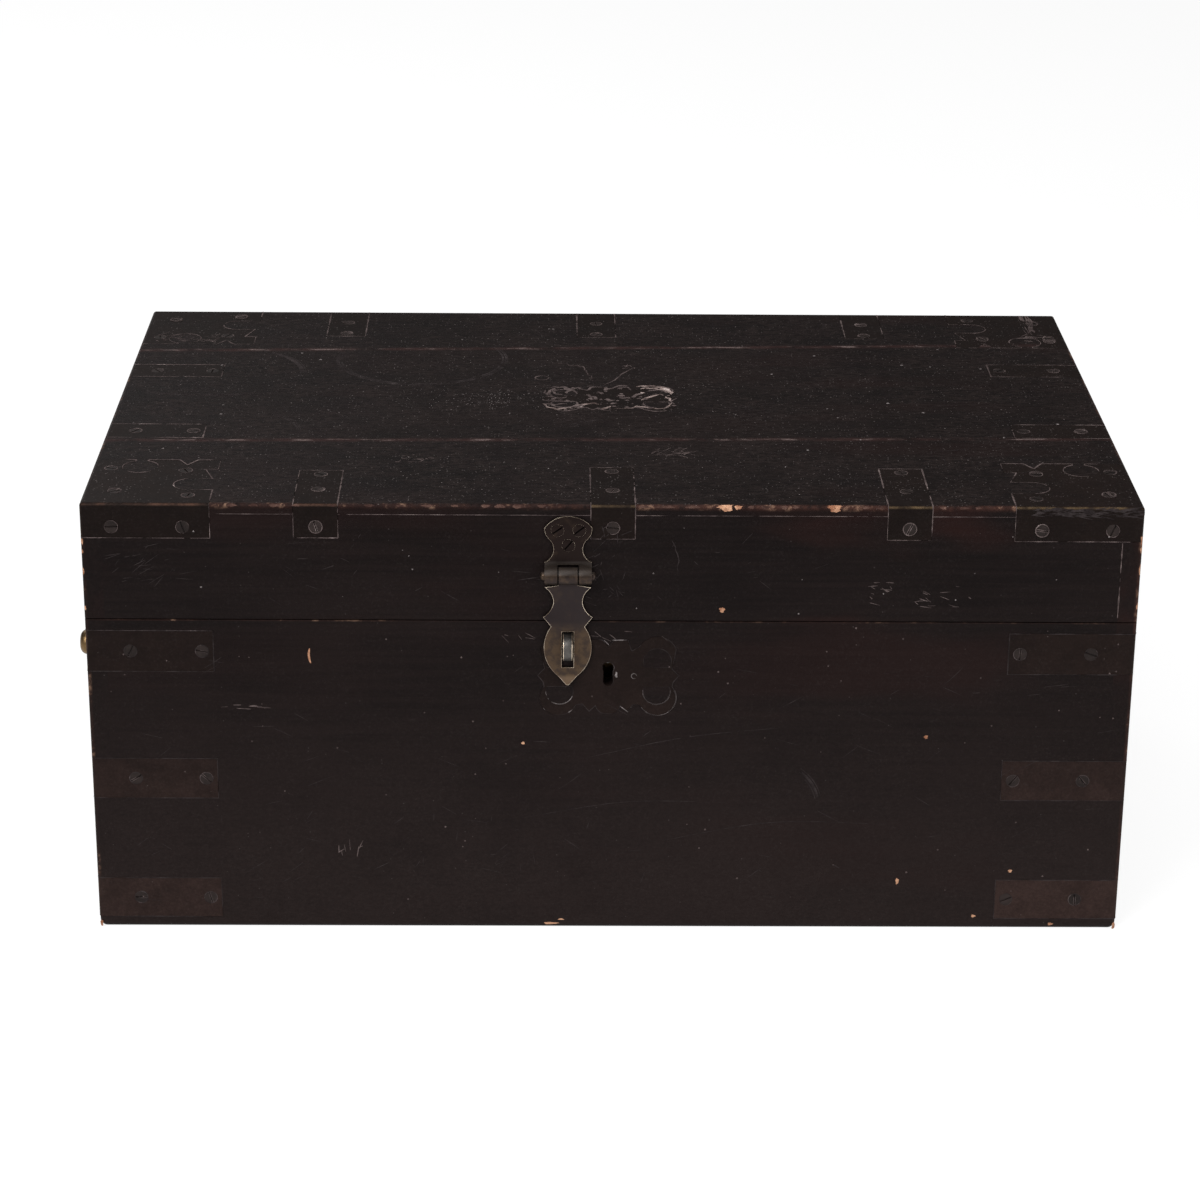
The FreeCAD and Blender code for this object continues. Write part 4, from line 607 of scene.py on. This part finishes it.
# how marks break up: scales and amounts of two noises, and the least and most share of the width
EDGE_BREAKS = [(55, 1.5), (310, 0.7)]
STROKE_BREAKS = [(90, 1.3), (400, 0.6)]
LEAST_SHARE, MOST_SHARE = 0.2, 1.4
# scratches bend by up to so many radians per metre, and are this much narrower or wider
BEND, WIDTHS = 9, (0.6, 1.2)
# the ragged outline of a patch: how many lobes run round it, and how far they reach
PATCH_LOBES = [(3, 0.16), (5, 0.12), (8, 0.08)]
PATCH_RINGS, PATCH_SPOKES = 3, 18


def mm(*values):
    return Vector(values) * MM


def on_front(across, up):
    """A place on the front, in millimetres from its middle and from the floor."""
    return mm(across, FRONT / MM, up)


def on_top(across, back):
    """A place on the top, in millimetres from its middle."""
    return mm(across, back, TOP / MM)


def skin_gap(point):
    """Distance of a point from the chest's outer surface with its rounded edges."""
    beyond = [abs(point.x) - CORE_X, abs(point.y) - CORE_Y, point.z - CORE_Z]
    outer = Vector([max(value, 0) for value in beyond]).length
    return outer + min(max(beyond), 0) - EDGE_ROUND


def on_skin(point, lift=0.0):
    """The nearest place on that surface, raised by a lift, with the way out there."""
    core = Vector((max(-CORE_X, min(CORE_X, point.x)), max(-CORE_Y, min(CORE_Y, point.y)),
                   min(CORE_Z, point.z)))
    out = (point - core).normalized()
    return core + out * (EDGE_ROUND + lift), out


def skin_ways(out):
    """The level way and the upward way along the surface that faces out."""
    east = Vector((0, 0, 1)).cross(out) if abs(out.z) < 0.9 else Vector((1, 0, 0))
    east = (east - out * east.dot(out)).normalized()
    return east, out.cross(east)


def broken(place, fullness, breaks):
    """The share of its width that a mark has at a place."""
    for scale, amount in breaks:
        fullness += amount * noise.noise(place * scale)
    return fullness


def outline(node, wanted=None):
    """The edges where a node's flush face ends, as (start, finish, way out)."""
    mesh = nodes[node].data
    uses = {}
    for face in mesh.polygons:
        corners = [mesh.vertices[index].co.copy() for index in face.vertices]
        if all(abs(skin_gap(corner)) < SKIN_TOLERANCE for corner in corners):
            for start, finish in zip(corners, corners[1:] + corners[:1]):
                key = frozenset(tuple(round(value / WELD) for value in end) for end in (start, finish))
                uses.setdefault(key, []).append((start, finish, face.normal.copy()))
    edges = [found[0] for found in uses.values() if len(found) == 1]
    return [edge for edge in edges if wanted is None or (wanted(edge[0]) and wanted(edge[1]))]


class Layer:
    """One piece made of thin marks that lie on the surface and ride on one body."""

    def __init__(self, name, body, material, slot="lacquered_wood", lift=SKIN_LIFT):
        self.name, self.body, self.material, self.slot = name, body, material, slot
        self.verts, self.faces = [], []
        self.lift = lift

    def raised(self):
        """A lift for the next mark, which lies a hair over the last one where they cross."""
        self.lift += LAYER_LIFT
        return self.lift

    def strip(self, rows):
        """Joins neighbouring pairs of points into a band and leaves gaps where a row is None."""
        last = None
        for row in rows:
            if row:
                first = len(self.verts)
                self.verts += row
                if last is not None:
                    self.faces.append((last, first, first + 1, last + 1))
                last = first
            else:
                last = None

    def edge_line(self, start, finish, out, width, fullness):
        """A fine broken line along one edge. Fullness says how much of it shows."""
        length = (finish - start).length
        if length < SHORTEST:
            return
        side = out.cross((finish - start) / length) * (1 + TOP_WIDENING * abs(out.z))
        count = max(1, math.ceil(length / STEP))
        lift = self.raised()
        rows = []
        for number in range(count + 1):
            place = start.lerp(finish, number / count)
            share = broken(place, fullness, EDGE_BREAKS)
            half = side * width * min(MOST_SHARE, share) / 2
            place = place + out * lift
            rows.append([place - half, place + half] if share > LEAST_SHARE else None)
        self.strip(rows)

    def edge_lines(self, edges, width, fullness):
        for start, finish, out in edges:
            self.edge_line(start, finish, out, width, fullness)

    def stroke(self, points, width, fullness=1.6):
        """A ribbon through points on the surface, pointed at both ends."""
        rows, lift = [], self.raised()
        for number, point in enumerate(points):
            place, out = on_skin(point, lift)
            ahead = points[min(number + 1, len(points) - 1)] - points[max(number - 1, 0)]
            side = out.cross(ahead).normalized()
            taper = math.sin(math.pi * (number + 0.4) / (len(points) - 0.2)) ** 0.5
            share = broken(place, fullness, STROKE_BREAKS)
            half = side * width * taper * min(1.0, share) / 2
            rows.append([place - half, place + half] if share > LEAST_SHARE else None)
        self.strip(rows)

    def scratch(self, start, angle, length, width, bend, fullness=1.6):
        """A stroke from a place, at an angle to the level way, that bends by some radians per metre."""
        place = on_skin(start)[0]
        points = [place]
        count = max(3, round(length / STEP))
        for _ in range(count):
            east, north = skin_ways(on_skin(place)[1])
            angle += bend * length / count
            place = on_skin(place + (east * math.cos(angle) + north * math.sin(angle)) * length / count)[0]
            points.append(place)
        self.stroke(points, width, fullness)

    def cluster(self, centre, spread, count, lengths, width, heading, turn, seed):
        """Scratches in a box about a centre, within a turn of a heading.

        The spread, lengths and width are in millimetres, and the heading and turn in degrees.
        """
        draw = random.Random(seed)
        for _ in range(count):
            start = centre + Vector([draw.uniform(-half, half) for half in mm(*spread)])
            angle = math.radians(heading + draw.uniform(-turn, turn))
            length = draw.uniform(lengths[0] * MM, lengths[1] * MM)
            broad = width * MM * draw.uniform(*WIDTHS)
            self.scratch(start, angle, length, broad, draw.uniform(-BEND, BEND), 1.2)

    def ring(self, centre, radius, low, high, strands, spread, width, seed, fullness=0.9):
        """Part of a ring mark in nearly parallel strands, from a low to a high angle in degrees.

        The radius, the spread of the strands and their width are in millimetres.
        """
        draw = random.Random(seed)
        east, north = skin_ways(on_skin(centre)[1])
        for _ in range(strands):
            reach = radius * MM + draw.uniform(-spread * MM, spread * MM)
            first, last = math.radians(low + draw.uniform(0, 8)), math.radians(high - draw.uniform(0, 8))
            count = max(6, round(abs(last - first) * reach / STEP))
            turns = [first + (last - first) * number / count for number in range(count + 1)]
            self.stroke([centre + east * reach * math.cos(turn) + north * reach * math.sin(turn)
                         for turn in turns], width * MM, fullness)

    def patch(self, place, across, along, seed, lift=0.05 * MM):
        """An irregular film round a place, domed a little, that bends round an edge with the surface."""
        lift += self.raised() - SKIN_LIFT
        middle, out = on_skin(place)
        east, north = skin_ways(out)
        draw = random.Random(seed)
        phases = [draw.uniform(0, math.tau) for _ in PATCH_LOBES]
        start = len(self.verts)
        self.verts.append(on_skin(middle, lift)[0])
        for ring in range(1, PATCH_RINGS + 1):
            for spoke in range(PATCH_SPOKES):
                angle = math.tau * spoke / PATCH_SPOKES
                ragged = 1
                for (lobes, amount), phase in zip(PATCH_LOBES, phases):
                    ragged += amount * math.sin(lobes * angle + phase)
                reach = ring / PATCH_RINGS * ragged
                spot = middle + east * across / 2 * reach * math.cos(angle) \
                    + north * along / 2 * reach * math.sin(angle)
                self.verts.append(on_skin(spot, lift if ring < PATCH_RINGS else 0.2 * lift)[0])
        for spoke in range(PATCH_SPOKES):
            following = (spoke + 1) % PATCH_SPOKES
            self.faces.append((start, start + 1 + spoke, start + 1 + following))
            for ring in range(PATCH_RINGS - 1):
                inner, outer = start + 1 + ring * PATCH_SPOKES, start + 1 + (ring + 1) * PATCH_SPOKES
                self.faces.append((inner + spoke, outer + spoke, outer + following, inner + following))

    def finish(self):
        data = bpy.data.meshes.new(self.name)
        data.from_pydata(self.verts, [], self.faces)
        data.materials.append(self.material)
        piece = linked(self.name, data)
        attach(piece, self.body)


# ---- lines round the brass ----

LINE = 0.5 * MM


def lines_round(name, body, node, fullness, slot="dark_brass", width=LINE, material=GAP_DUST_AND_GLINT):
    layer = Layer(name, body, material, slot)
    layer.edge_lines(outline(node), width, fullness)
    layer.finish()


def brass_lines():
    for name in nodes:
        if name.startswith("lid_") and ("_strap" in name or "_corner_" in name):
            lines_round(name + "_line", "lid", name, 0.72)
        elif name.endswith("_corner_straps"):
            lines_round(name + "_line", "case", name, 0.85, material=FAINT_DUST)
    lines_round("escutcheon_line", "case", "escutcheon", 0.6, material=FAINT_DUST)
    # pale rings round the screw heads: dust at their rims, partly a painted highlight
    lines_round("lid_screw_rings", "lid", "lid_brass_screws", 0.2, "tarnished_screws", 0.4 * MM)
    lines_round("case_screw_rings", "case", "case_strap_screws", 0.22, "tarnished_screws", 0.35 * MM)


GLINT = 0.55 * MM
GLINT_LIFT = 3 * SKIN_LIFT
# painted highlights on the lit parts of the escutcheon's outline: limits of height and of place across, and
# fullness
SCROLL_GLINTS = [((0.16, 0.179), (0.0195, RIGHT), 0.8), ((0.162, 0.179), (-0.047, -0.026), 0.7),
                 ((0.193, CASE_TOP), (0.019, RIGHT), 0.35)]
# short bright nicks at its rim, from one place on the front to another
RIM_NICKS = [((-5.2, 214.7), (-1.9, 211.1)), ((6.0, 166.9), (11.4, 162.6)), ((0.1, 214.7), (10.1, 214.8))]
NICK_STEPS = 6
# how high the painted highlights on the upper edges of the front's straps start, in millimetres, and their
# fullness
LIT_STRAP_EDGES = [("front_left_corner_straps", 219.5, 0.9), ("front_right_corner_straps", 190.0, 0.5)]


def escutcheon_glints():
    """Painted highlights where the escutcheon's scrolls catch the light, along their lower halves."""
    bright = Layer("escutcheon_glints", "case", PALE_DUST_AND_GLINT, "dark_brass", GLINT_LIFT)
    for (low, high), (left, right), fullness in SCROLL_GLINTS:
        lit = outline("escutcheon", lambda spot: low < spot.z < high and left < spot.x < right)
        bright.edge_lines(lit, GLINT, fullness)
    bright.ring(on_front(15.1, 188.8), 2.0, 0, 300, 2, 0.5, 0.35, 50, fullness=0.7)
    for first, last in RIM_NICKS:
        start, finish = on_front(*first), on_front(*last)
        bright.stroke([start.lerp(finish, step / NICK_STEPS) for step in range(NICK_STEPS + 1)], 0.6 * MM)
    # a painted glint beside the keyhole
    bright.patch(on_front(3.2, 189.5), 1.6 * MM, 4.2 * MM, 5)
    bright.finish()


def strap_glints():
    """Painted highlights along the upper edges of the front's upper straps, as a wavy pale line."""
    layer = Layer("strap_glints", "case", GAP_DUST_AND_GLINT, "dark_brass", GLINT_LIFT)
    for node, lowest, fullness in LIT_STRAP_EDGES:
        high = outline(node, lambda spot: spot.z > lowest * MM and spot.y < FRONT + EDGE_ROUND)
        layer.edge_lines(high, GLINT, fullness)
    layer.finish()


TOP_JOINT = TOP - TOP_BOARD
END_JOINT = RIGHT - BOARD
FORWARD = Vector((0, -1, 0))
FRONT_PLATES = ["lid_corner_front_left", "lid_front_strap_left", "lid_front_strap_middle",
                "lid_front_strap_right", "lid_corner_front_right"]


def joint_lines():
    """The fine lines where the lid's front rail meets its top and its right end."""
    layer = Layer("lid_joint_lines", "lid", GAP_DUST_AND_GLINT)
    for first, second in zip(FRONT_PLATES, FRONT_PLATES[1:]):
        start = Vector((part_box(first)[1].x, FRONT, TOP_JOINT))
        finish = Vector((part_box(second)[0].x, FRONT, TOP_JOINT))
        layer.edge_line(start, finish, FORWARD, 0.7 * LINE, 1.0)
    foot = Vector((END_JOINT, FRONT, LID_FOOT + 3 * MM))
    head = Vector((END_JOINT, FRONT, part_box("lid_corner_front_right")[0].z - 1 * MM))
    layer.edge_line(foot, head, FORWARD, 1.8 * LINE, 0.65)
    layer.finish()


# on the ornament, in millimetres: how wide each ridge painted bright as a highlight is, and the points it
# runs through
ORNAMENT_RIDGES = [
    (2.6, [(-47, -6), (-42, -15), (-35, -18), (-28, -15), (-23, -10), (-16, -7), (-9, -6), (-7, -9)]),
    (3.4, [(-8, -19), (-3, -17), (1, -12)]),
    (2.2, [(3, -17), (10, -17), (17, -15), (20, -11), (25, -14), (32, -16), (39, -16), (43, -10),
           (45, -1)]),
    (4.2, [(21, 34), (26, 36), (33, 35), (40, 31), (44, 24), (45, 18), (49, 16)]),
    (3.0, [(23, 28), (28, 31), (35, 29), (41, 24), (43, 18)]),
    (2.6, [(24, 3), (27, 7), (36, 15), (40, 13)]),
    (2.0, [(41, 11), (44, 6), (45, -1)]),
]
# the same for the dimmer folds between them
ORNAMENT_FOLDS = [
    (2.4, [(28, 22), (33, 26), (38, 24), (37, 18), (30, 15)]),
    (3.0, [(-40, 23), (-38, 30), (-32, 31), (-29, 25), (-30, 18), (-35, 15), (-39, 18), (-40, 23)]),
    (2.4, [(-46, 25), (-44, 15), (-42, 21), (-40, 28), (-34, 32), (-26, 28), (-24, 23)]),
    (2.2, [(-47, 4), (-43, 0), (-35, -1), (-24, 1)]),
    (2.2, [(-44, -6), (-37, -8), (-28, -5)]),
    (2.2, [(-46, 16), (-40, 10), (-34, 6), (-28, 12)]),
    (2.8, [(-17, 12), (-14, 14), (-11, 8), (-6, 6)]),
    (2.4, [(-25, 28), (-20, 32), (-15, 35), (-10, 36)]),
    (2.4, [(-3, 32), (2, 28), (8, 36), (14, 34)]),
    (3.2, [(7, 14), (11, 8), (16, 6), (21, 16), (25, 17)]),
    (3.4, [(-1, 6), (2, 2), (5, 2)]),
]
# points from one spot of a curve to the next, and how far each line is shaken
CURVE_STEPS, SHAKE = 7, 2.4 * MM
# how fast the shaking of a curve varies, and a step aside for its second direction
SHAKE_SCALE, SHAKE_STEP = 260, mm(50, 0, 0)
FLAKE_COUNT = 60
# flakes further to the right and back than this are bright, as pale flakes with painted highlights
BRIGHT_FLAKES = mm(18, 12)


def curve_through(spots, steps, shake):
    """Points along a smooth curve through the spots, shaken a little."""
    ends = [2 * spots[0] - spots[1], *spots, 2 * spots[-1] - spots[-2]]
    found = []
    for before, start, finish, after in zip(ends, ends[1:], ends[2:], ends[3:]):
        for step in range(steps):
            share = step / steps
            bend = (finish - before) * share + (2 * before - 5 * start + 4 * finish - after) * share ** 2 \
                + (3 * start - before - 3 * finish + after) * share ** 3
            found.append(start + bend / 2)
    shaken = []
    for spot in found:
        scaled = spot * SHAKE_SCALE
        shaken.append(spot + Vector((noise.noise(scaled), noise.noise(scaled + SHAKE_STEP), 0)) * shake)
    return shaken


def ornament_flakes():
    """The old plate on the lid has lifted and flaked; its ridges are pale flakes painted bright as
    highlights where they catch the light.
    """
    bright = Layer("ornament_ridges", "lid", FLAKES_AND_GLINTS, "dark_brass")
    dim = Layer("ornament_folds", "lid", GAP_DUST_AND_GLINT, "dark_brass")
    for layer, lines in ((bright, ORNAMENT_RIDGES), (dim, ORNAMENT_FOLDS)):
        for width, points in lines:
            spots = [on_top(x, y) for x, y in points]
            for part in (0.5, 1.0):
                curve = curve_through(spots, CURVE_STEPS, part * SHAKE)
                layer.stroke(curve, part * width * MM, 0.9)
    dim.edge_lines(outline("lid_ornament"), 0.8 * MM, 0.55)
    mesh = nodes["lid_ornament"].data
    tops = [face for face in mesh.polygons if face.normal.z > 0.9 and face.center.z > TOP - 0.1 * MM]
    draw = random.Random(7)
    chosen = draw.choices(tops, weights=[face.area for face in tops], k=FLAKE_COUNT)
    for number, face in enumerate(chosen):
        corners = [mesh.vertices[index].co for index in face.vertices]
        shares = [draw.random() for _ in corners]
        place = sum((corner * share for corner, share in zip(corners, shares)), Vector()) / sum(shares)
        layer = bright if place.x > BRIGHT_FLAKES.x and place.y > BRIGHT_FLAKES.y else dim
        layer.patch(place, draw.uniform(1.0, 4.0) * MM, draw.uniform(1.0, 3.0) * MM, number, 0.12 * MM)
    bright.finish()
    dim.finish()


# ---- chips, dots and scratches ----

# along the lid's front edge: place, width and height in millimetres, of the chips that are bare
# wood and of those that are only worn
EDGE_CHIPS = [(74.2, 10, 6.4), (82, 5, 3.2), (145.7, 9.5, 6.8)]
WORN_CHIPS = [(90.6, 3.6, 2.4), (100.2, 6, 2.6), (112.2, 4.8, 3), (120, 4, 2), (166, 5, 2),
              (175.9, 4.4, 3), (217.2, 4, 2.4), (230.5, 6, 2), (240, 4, 1.6), (20.5, 8, 1.6),
              (34, 12, 2), (52, 9, 2.2), (-74.6, 6.5, 3), (-62, 9, 3.4), (-84, 5.6, 2.4), (-47, 5, 2.2),
              (-250, 6.2, 2.4), (-236, 5.8, 2.2), (-222, 7.4, 2.6), (-208, 5, 1.8), (-122, 7.6, 1.8),
              (-140, 5, 1.6), (-160, 6.4, 1.8), (-184, 4, 1.6), (-104, 5, 1.6)]
# on the front: across, up, width and height in millimetres
FRONT_DOTS = [(212.7, 144.9, 2.6, 2.6), (197.6, 36.9, 2.2, 4.6), (274.9, 44.8, 2.6, 2.2),
              (251.2, 10.3, 3, 2), (304.7, 4.3, 3.4, 2), (-59.1, 139.5, 2.2, 2), (-349, 3.2, 3, 4.5),
              (349, 3, 3.4, 5), (-40, 4, 10, 1.6), (-33, 7, 4, 1.2)]
# on the lid's upright front corners: how high, width and height in millimetres
CORNER_CHIPS = [(283, 2.4, 4), (276, 1.8, 3), (262, 1.6, 5), (236, 2, 3)]


# where those chips lie on the rounded edges, in millimetres
BARE_UP, WORN_UP = 309.2, 309.4
CORNER_ACROSS, CORNER_FRONT = 349.6, -219.6


def front_patches(layer, rows):
    for number, (x, z, across, along) in enumerate(rows):
        layer.patch(on_front(x, z), across * MM, along * MM, number)


def chips():
    lid = Layer("lid_chips", "lid", BARE_WOOD)
    front_patches(lid, [(x, BARE_UP, across, along) for x, across, along in EDGE_CHIPS])
    lid.patch(on_front(73.0, 236.6), 3.6 * MM, 3.6 * MM, 31)
    for z, across, along in CORNER_CHIPS:
        lid.patch(mm(-CORNER_ACROSS, CORNER_FRONT, z), across * MM, along * MM, int(z))
        lid.patch(mm(CORNER_ACROSS, CORNER_FRONT, z + 4), across * MM, along * 1.6 * MM, int(z) + 1)
    lid.finish()
    worn = Layer("lid_worn_chips", "lid", WORN_WOOD)
    front_patches(worn, [(x, WORN_UP, across, along) for x, across, along in WORN_CHIPS])
    worn.finish()
    case = Layer("case_chips", "case", BARE_WOOD)
    front_patches(case, FRONT_DOTS)
    case.scratch(on_front(-201.3, 208.0), math.radians(-108), 11 * MM, 1.5 * MM, 60)
    case.finish()


# long scratches over the ornament and one down the lid's front, in millimetres
SCRATCH_TRAILS = [
    [(-40.7, 90), (-33, 87), (-27, 84), (-20, 83), (-15.5, 72), (-12.5, 60), (-10.8, 44)],
    [(-2, 38), (4, 48), (9, 60), (14, 70), (20, 81)],
]
FRONT_TRAIL = [(38.9, 286), (41.5, 280), (43.2, 272), (42.6, 260)]
# long faint sweeps over the case's front, from one place to another
FRONT_SWEEPS = [((-20, 128), (120, 152)), ((-60, 84), (80, 96)), ((30, 66), (190, 80))]


# the sides that the photograph doesn't show: middle, half size in millimetres, seed's addend
HIDDEN_SIDES = [((LEFT, 0), (0, 190), 0), ((RIGHT, 0), (0, 190), 1), ((0, BACK), (310, 0), 3)]


def side_scuffs(layer, height, spread, count, lengths, turn, seed):
    """Nearly level scratches on both ends and the back, about one height."""
    for middle, half, addend in HIDDEN_SIDES:
        place = Vector((*middle, height))
        layer.cluster(place, (*half, spread), count, lengths, 0.5, 5, turn, seed + addend)


def lid_scratches():
    pale = Layer("lid_scratches", "lid", GAP_DUST_AND_GLINT)
    pale.cluster(on_front(205, 248), (36, 0, 9), 26, (2, 8), 0.45, -22, 34, 1)
    pale.cluster(on_top(326, 186), (4, 20, 0), 34, (8, 24), 0.8, 93, 9, 4)
    pale.cluster(on_top(324, 158), (11, 6, 0), 16, (3, 10), 1.2, 20, 60, 2)
    pale.cluster(on_top(-318, 148), (22, 7, 0), 34, (3, 12), 0.8, 0, 50, 9)
    pale.cluster(on_top(40, -112), (15, 7, 0), 26, (3, 10), 0.7, 10, 50, 5)
    pale.cluster(on_top(-134, -128), (13, 9, 0), 16, (2, 6), 0.8, 10, 60, 10)
    pale.ring(on_top(-47.9, 53.4), 5.2, 0, 358, 3, 0.3, 1.1, 7, fullness=2.2)
    for trail in SCRATCH_TRAILS:
        pale.stroke(curve_through([on_top(x, y) for x, y in trail], 8, 2.6 * MM), 1.0 * MM, 1.5)
    pale.cluster(on_top(16, 79), (6, 4, 0), 9, (2, 7), 0.9, 60, 70, 8)
    pale.finish()


def lid_scuffs():
    faint = Layer("lid_scuffs", "lid", FAINT_DUST)
    faint.ring(on_top(-137, 98), 62, 160, 395, 12, 2.6, 0.7, 11)
    faint.ring(on_top(-290, 60), 67, -8, 62, 12, 2.4, 0.7, 12)
    faint.ring(on_top(-258, -70), 41, -4, 68, 8, 2.0, 0.6, 13)
    faint.ring(on_top(-290, 150), 140, 246, 298, 9, 2.6, 0.6, 14)
    faint.cluster(on_top(-31, -57), (14, 7, 0), 9, (14, 30), 0.8, 33, 6, 6)
    faint.cluster(on_top(-40, 0), (280, 200, 0), 90, (6, 46), 0.5, 4, 32, 15)
    faint.cluster(on_top(200, 20), (130, 180, 0), 50, (6, 40), 0.5, 0, 24, 16)
    faint.cluster(on_top(101, -17), (12, 12, 0), 24, (2, 9), 0.7, 0, 60, 24)
    faint.cluster(on_front(310, 306.5), (36, 0, 3), 110, (3, 13), 0.8, 0, 14, 3)
    faint.cluster(on_front(-310, 265), (26, 0, 16), 26, (3, 15), 0.4, 25, 30, 17)
    faint.cluster(on_front(-6, 268), (14, 0, 26), 26, (2, 9), 0.6, 80, 60, 25)
    faint.cluster(on_front(-120, 262), (130, 0, 26), 20, (2, 16), 0.4, 10, 50, 18)
    faint.cluster(on_front(60, 262), (80, 0, 26), 14, (2, 12), 0.4, 10, 60, 19)
    faint.stroke(curve_through([on_front(x, z) for x, z in FRONT_TRAIL], 6, 0.8 * MM), 0.7 * MM)
    side_scuffs(faint, 0.268, 30, 46, (4, 26), 30, 20)
    faint.finish()


def case_marks():
    case = Layer("case_scratches", "case", GAP_DUST_AND_GLINT)
    case.cluster(on_front(-249, 165.4), (13, 0, 1.4), 6, (4, 10), 0.6, 3, 5, 31)
    case.cluster(on_front(-177, 59), (9, 0, 5), 8, (3, 9), 0.5, 60, 40, 32)
    case.cluster(on_front(-20, 219), (60, 0, 3), 12, (2, 8), 0.4, -30, 30, 33)
    case.finish()

    dim = Layer("case_scuffs", "case", FAINT_DUST)
    dim.cluster(on_front(0, 110), (330, 0, 90), 80, (2, 22), 0.35, 4, 40, 41)
    dim.cluster(on_front(-120, 60), (150, 0, 26), 26, (3, 12), 0.4, 50, 50, 42)
    dim.ring(on_front(108, 92), 34, 10, 58, 9, 2.4, 0.7, 47)
    for number, (start, finish) in enumerate(FRONT_SWEEPS):
        low, high = on_front(*start), on_front(*finish)
        bowed = low.lerp(high, 0.5) + mm(0, 0, 4 + 2 * number)
        dim.stroke(curve_through([low, bowed, high], 60, 0.6 * MM), 0.5 * MM, 0.9)
    side_scuffs(dim, 0.11, 90, 80, (4, 30), 35, 43)
    dim.finish()


def grains(layer, draw, count, sizes, stretch, place):
    for number in range(count):
        size = draw.uniform(*sizes) * MM
        layer.patch(place(), size, stretch * size, number)


def specks():
    """Grains of dust that stand out on the lid and the front."""
    draw = random.Random(90)
    top = Layer("lid_specks", "lid", PALE_DUST_AND_GLINT)
    grains(top, draw, 34, (0.9, 2.1), 1.3, lambda: on_top(draw.uniform(-310, 320), draw.uniform(-150, 190)))
    grains(top, draw, 150, (0.4, 0.8), 1.4, lambda: on_top(draw.gauss(-84, 22), draw.gauss(2, 11)))
    grains(top, draw, 18, (0.6, 1.2), 1, lambda: on_front(draw.uniform(-330, 340), draw.uniform(234, 300)))
    top.finish()
    front = Layer("case_specks", "case", GAP_DUST_AND_GLINT)
    grains(front, draw, 70, (0.6, 1.3), 1, lambda: on_front(draw.uniform(-340, 340), draw.uniform(4, 224)))
    front.finish()


# ---- the hasp's rounded edges ----

# what is rounded: the node, its body and the width of the rounding
SOFTENED = [("hasp_plate", "lid", 0.75 * MM), ("hasp_leaf", "hasp", 0.52 * MM),
            ("hasp_screws", "lid", 0.3 * MM), ("staple", "case", 0.5 * MM)]
SHARP = math.radians(35)
FLAT = math.radians(0.5)
BARREL_REACH = 6.4 * MM
# floors of screw slots lie deeper than this, and their long edges are longer than this
SLOT_DEPTH, SLOT_EDGE = 0.3 * MM, 2.5 * MM
# the middles of the plate's screws, from its top middle, in millimetres
PLATE_SCREWS = [(-7.2, -10.0), (7.2, -10.0), (0.0, -20.5)]
PLATE_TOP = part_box("hasp_plate")[1].z
SCREW_REACH = 5.5 * MM


def by_a_screw(spot):
    """Whether a spot on the hasp's plate lies on the rim of a screw hole."""
    return any(math.hypot(spot.x - HASP[X] - x * MM, spot.z - PLATE_TOP - z * MM) < SCREW_REACH
               for x, z in PLATE_SCREWS)


def softened(node, body, width):
    """Stands in for a node of the hasp with a copy whose sharp edges are rounded and made bright, as rubbed
    brass with a painted highlight.
    """
    mesh = bmesh.new()
    mesh.from_mesh(nodes[node].data)
    bmesh.ops.remove_doubles(mesh, verts=mesh.verts, dist=WELD)
    bmesh.ops.dissolve_limit(mesh, angle_limit=FLAT, verts=mesh.verts, edges=mesh.edges)
    heads = min(vertex.co.y for vertex in mesh.verts)
    sharp = [edge for edge in mesh.edges if len(edge.link_faces) == 2 and edge.calc_face_angle() > SHARP]
    if node == "hasp_screws":
        sharp = [edge for edge in sharp if edge.calc_length() < SLOT_EDGE]
    if node == "hasp_plate":
        sharp = [edge for edge in sharp if not by_a_screw(edge.verts[0].co)]
    bmesh.ops.bevel(mesh, geom=sharp, offset=width, segments=2, profile=0.5, affect="EDGES",
                    clamp_overlap=True, material=1)
    for face in mesh.faces:
        face.smooth = True
        middle = face.calc_center_median()
        if abs(middle.z - HASP[Z]) < BARREL_REACH:
            face.material_index = 0
        # painted shade on the floors and walls of the screw slots
        elif node == "hasp_screws" and middle.y > heads + SLOT_DEPTH and face.material_index == 0:
            face.material_index = 2
    for edge in mesh.edges:
        edge.smooth = len(edge.link_faces) == 2 and edge.calc_face_angle() < SHARP
    data = bpy.data.meshes.new(node + "_rounded")
    mesh.to_mesh(data)
    mesh.free()
    data.materials.append(STAPLE_METAL if node == "staple" else HASP_BRASS)
    data.materials.append(RUBBED_BRASS_AND_GLINT)
    if node == "hasp_screws":
        data.materials.append(SLOT_SHADE)
    piece = linked(node + "_rounded", data)
    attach(piece, body)
    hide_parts(node)


make_camera()
make_lights()
make_floor()
set_materials()
brass_lines()
escutcheon_glints()
strap_glints()
joint_lines()
ornament_flakes()
chips()
lid_scratches()
lid_scuffs()
case_marks()
specks()
for node, body, width in SOFTENED:
    softened(node, body, width)

bpy.context.scene.view_settings.view_transform = "Standard"
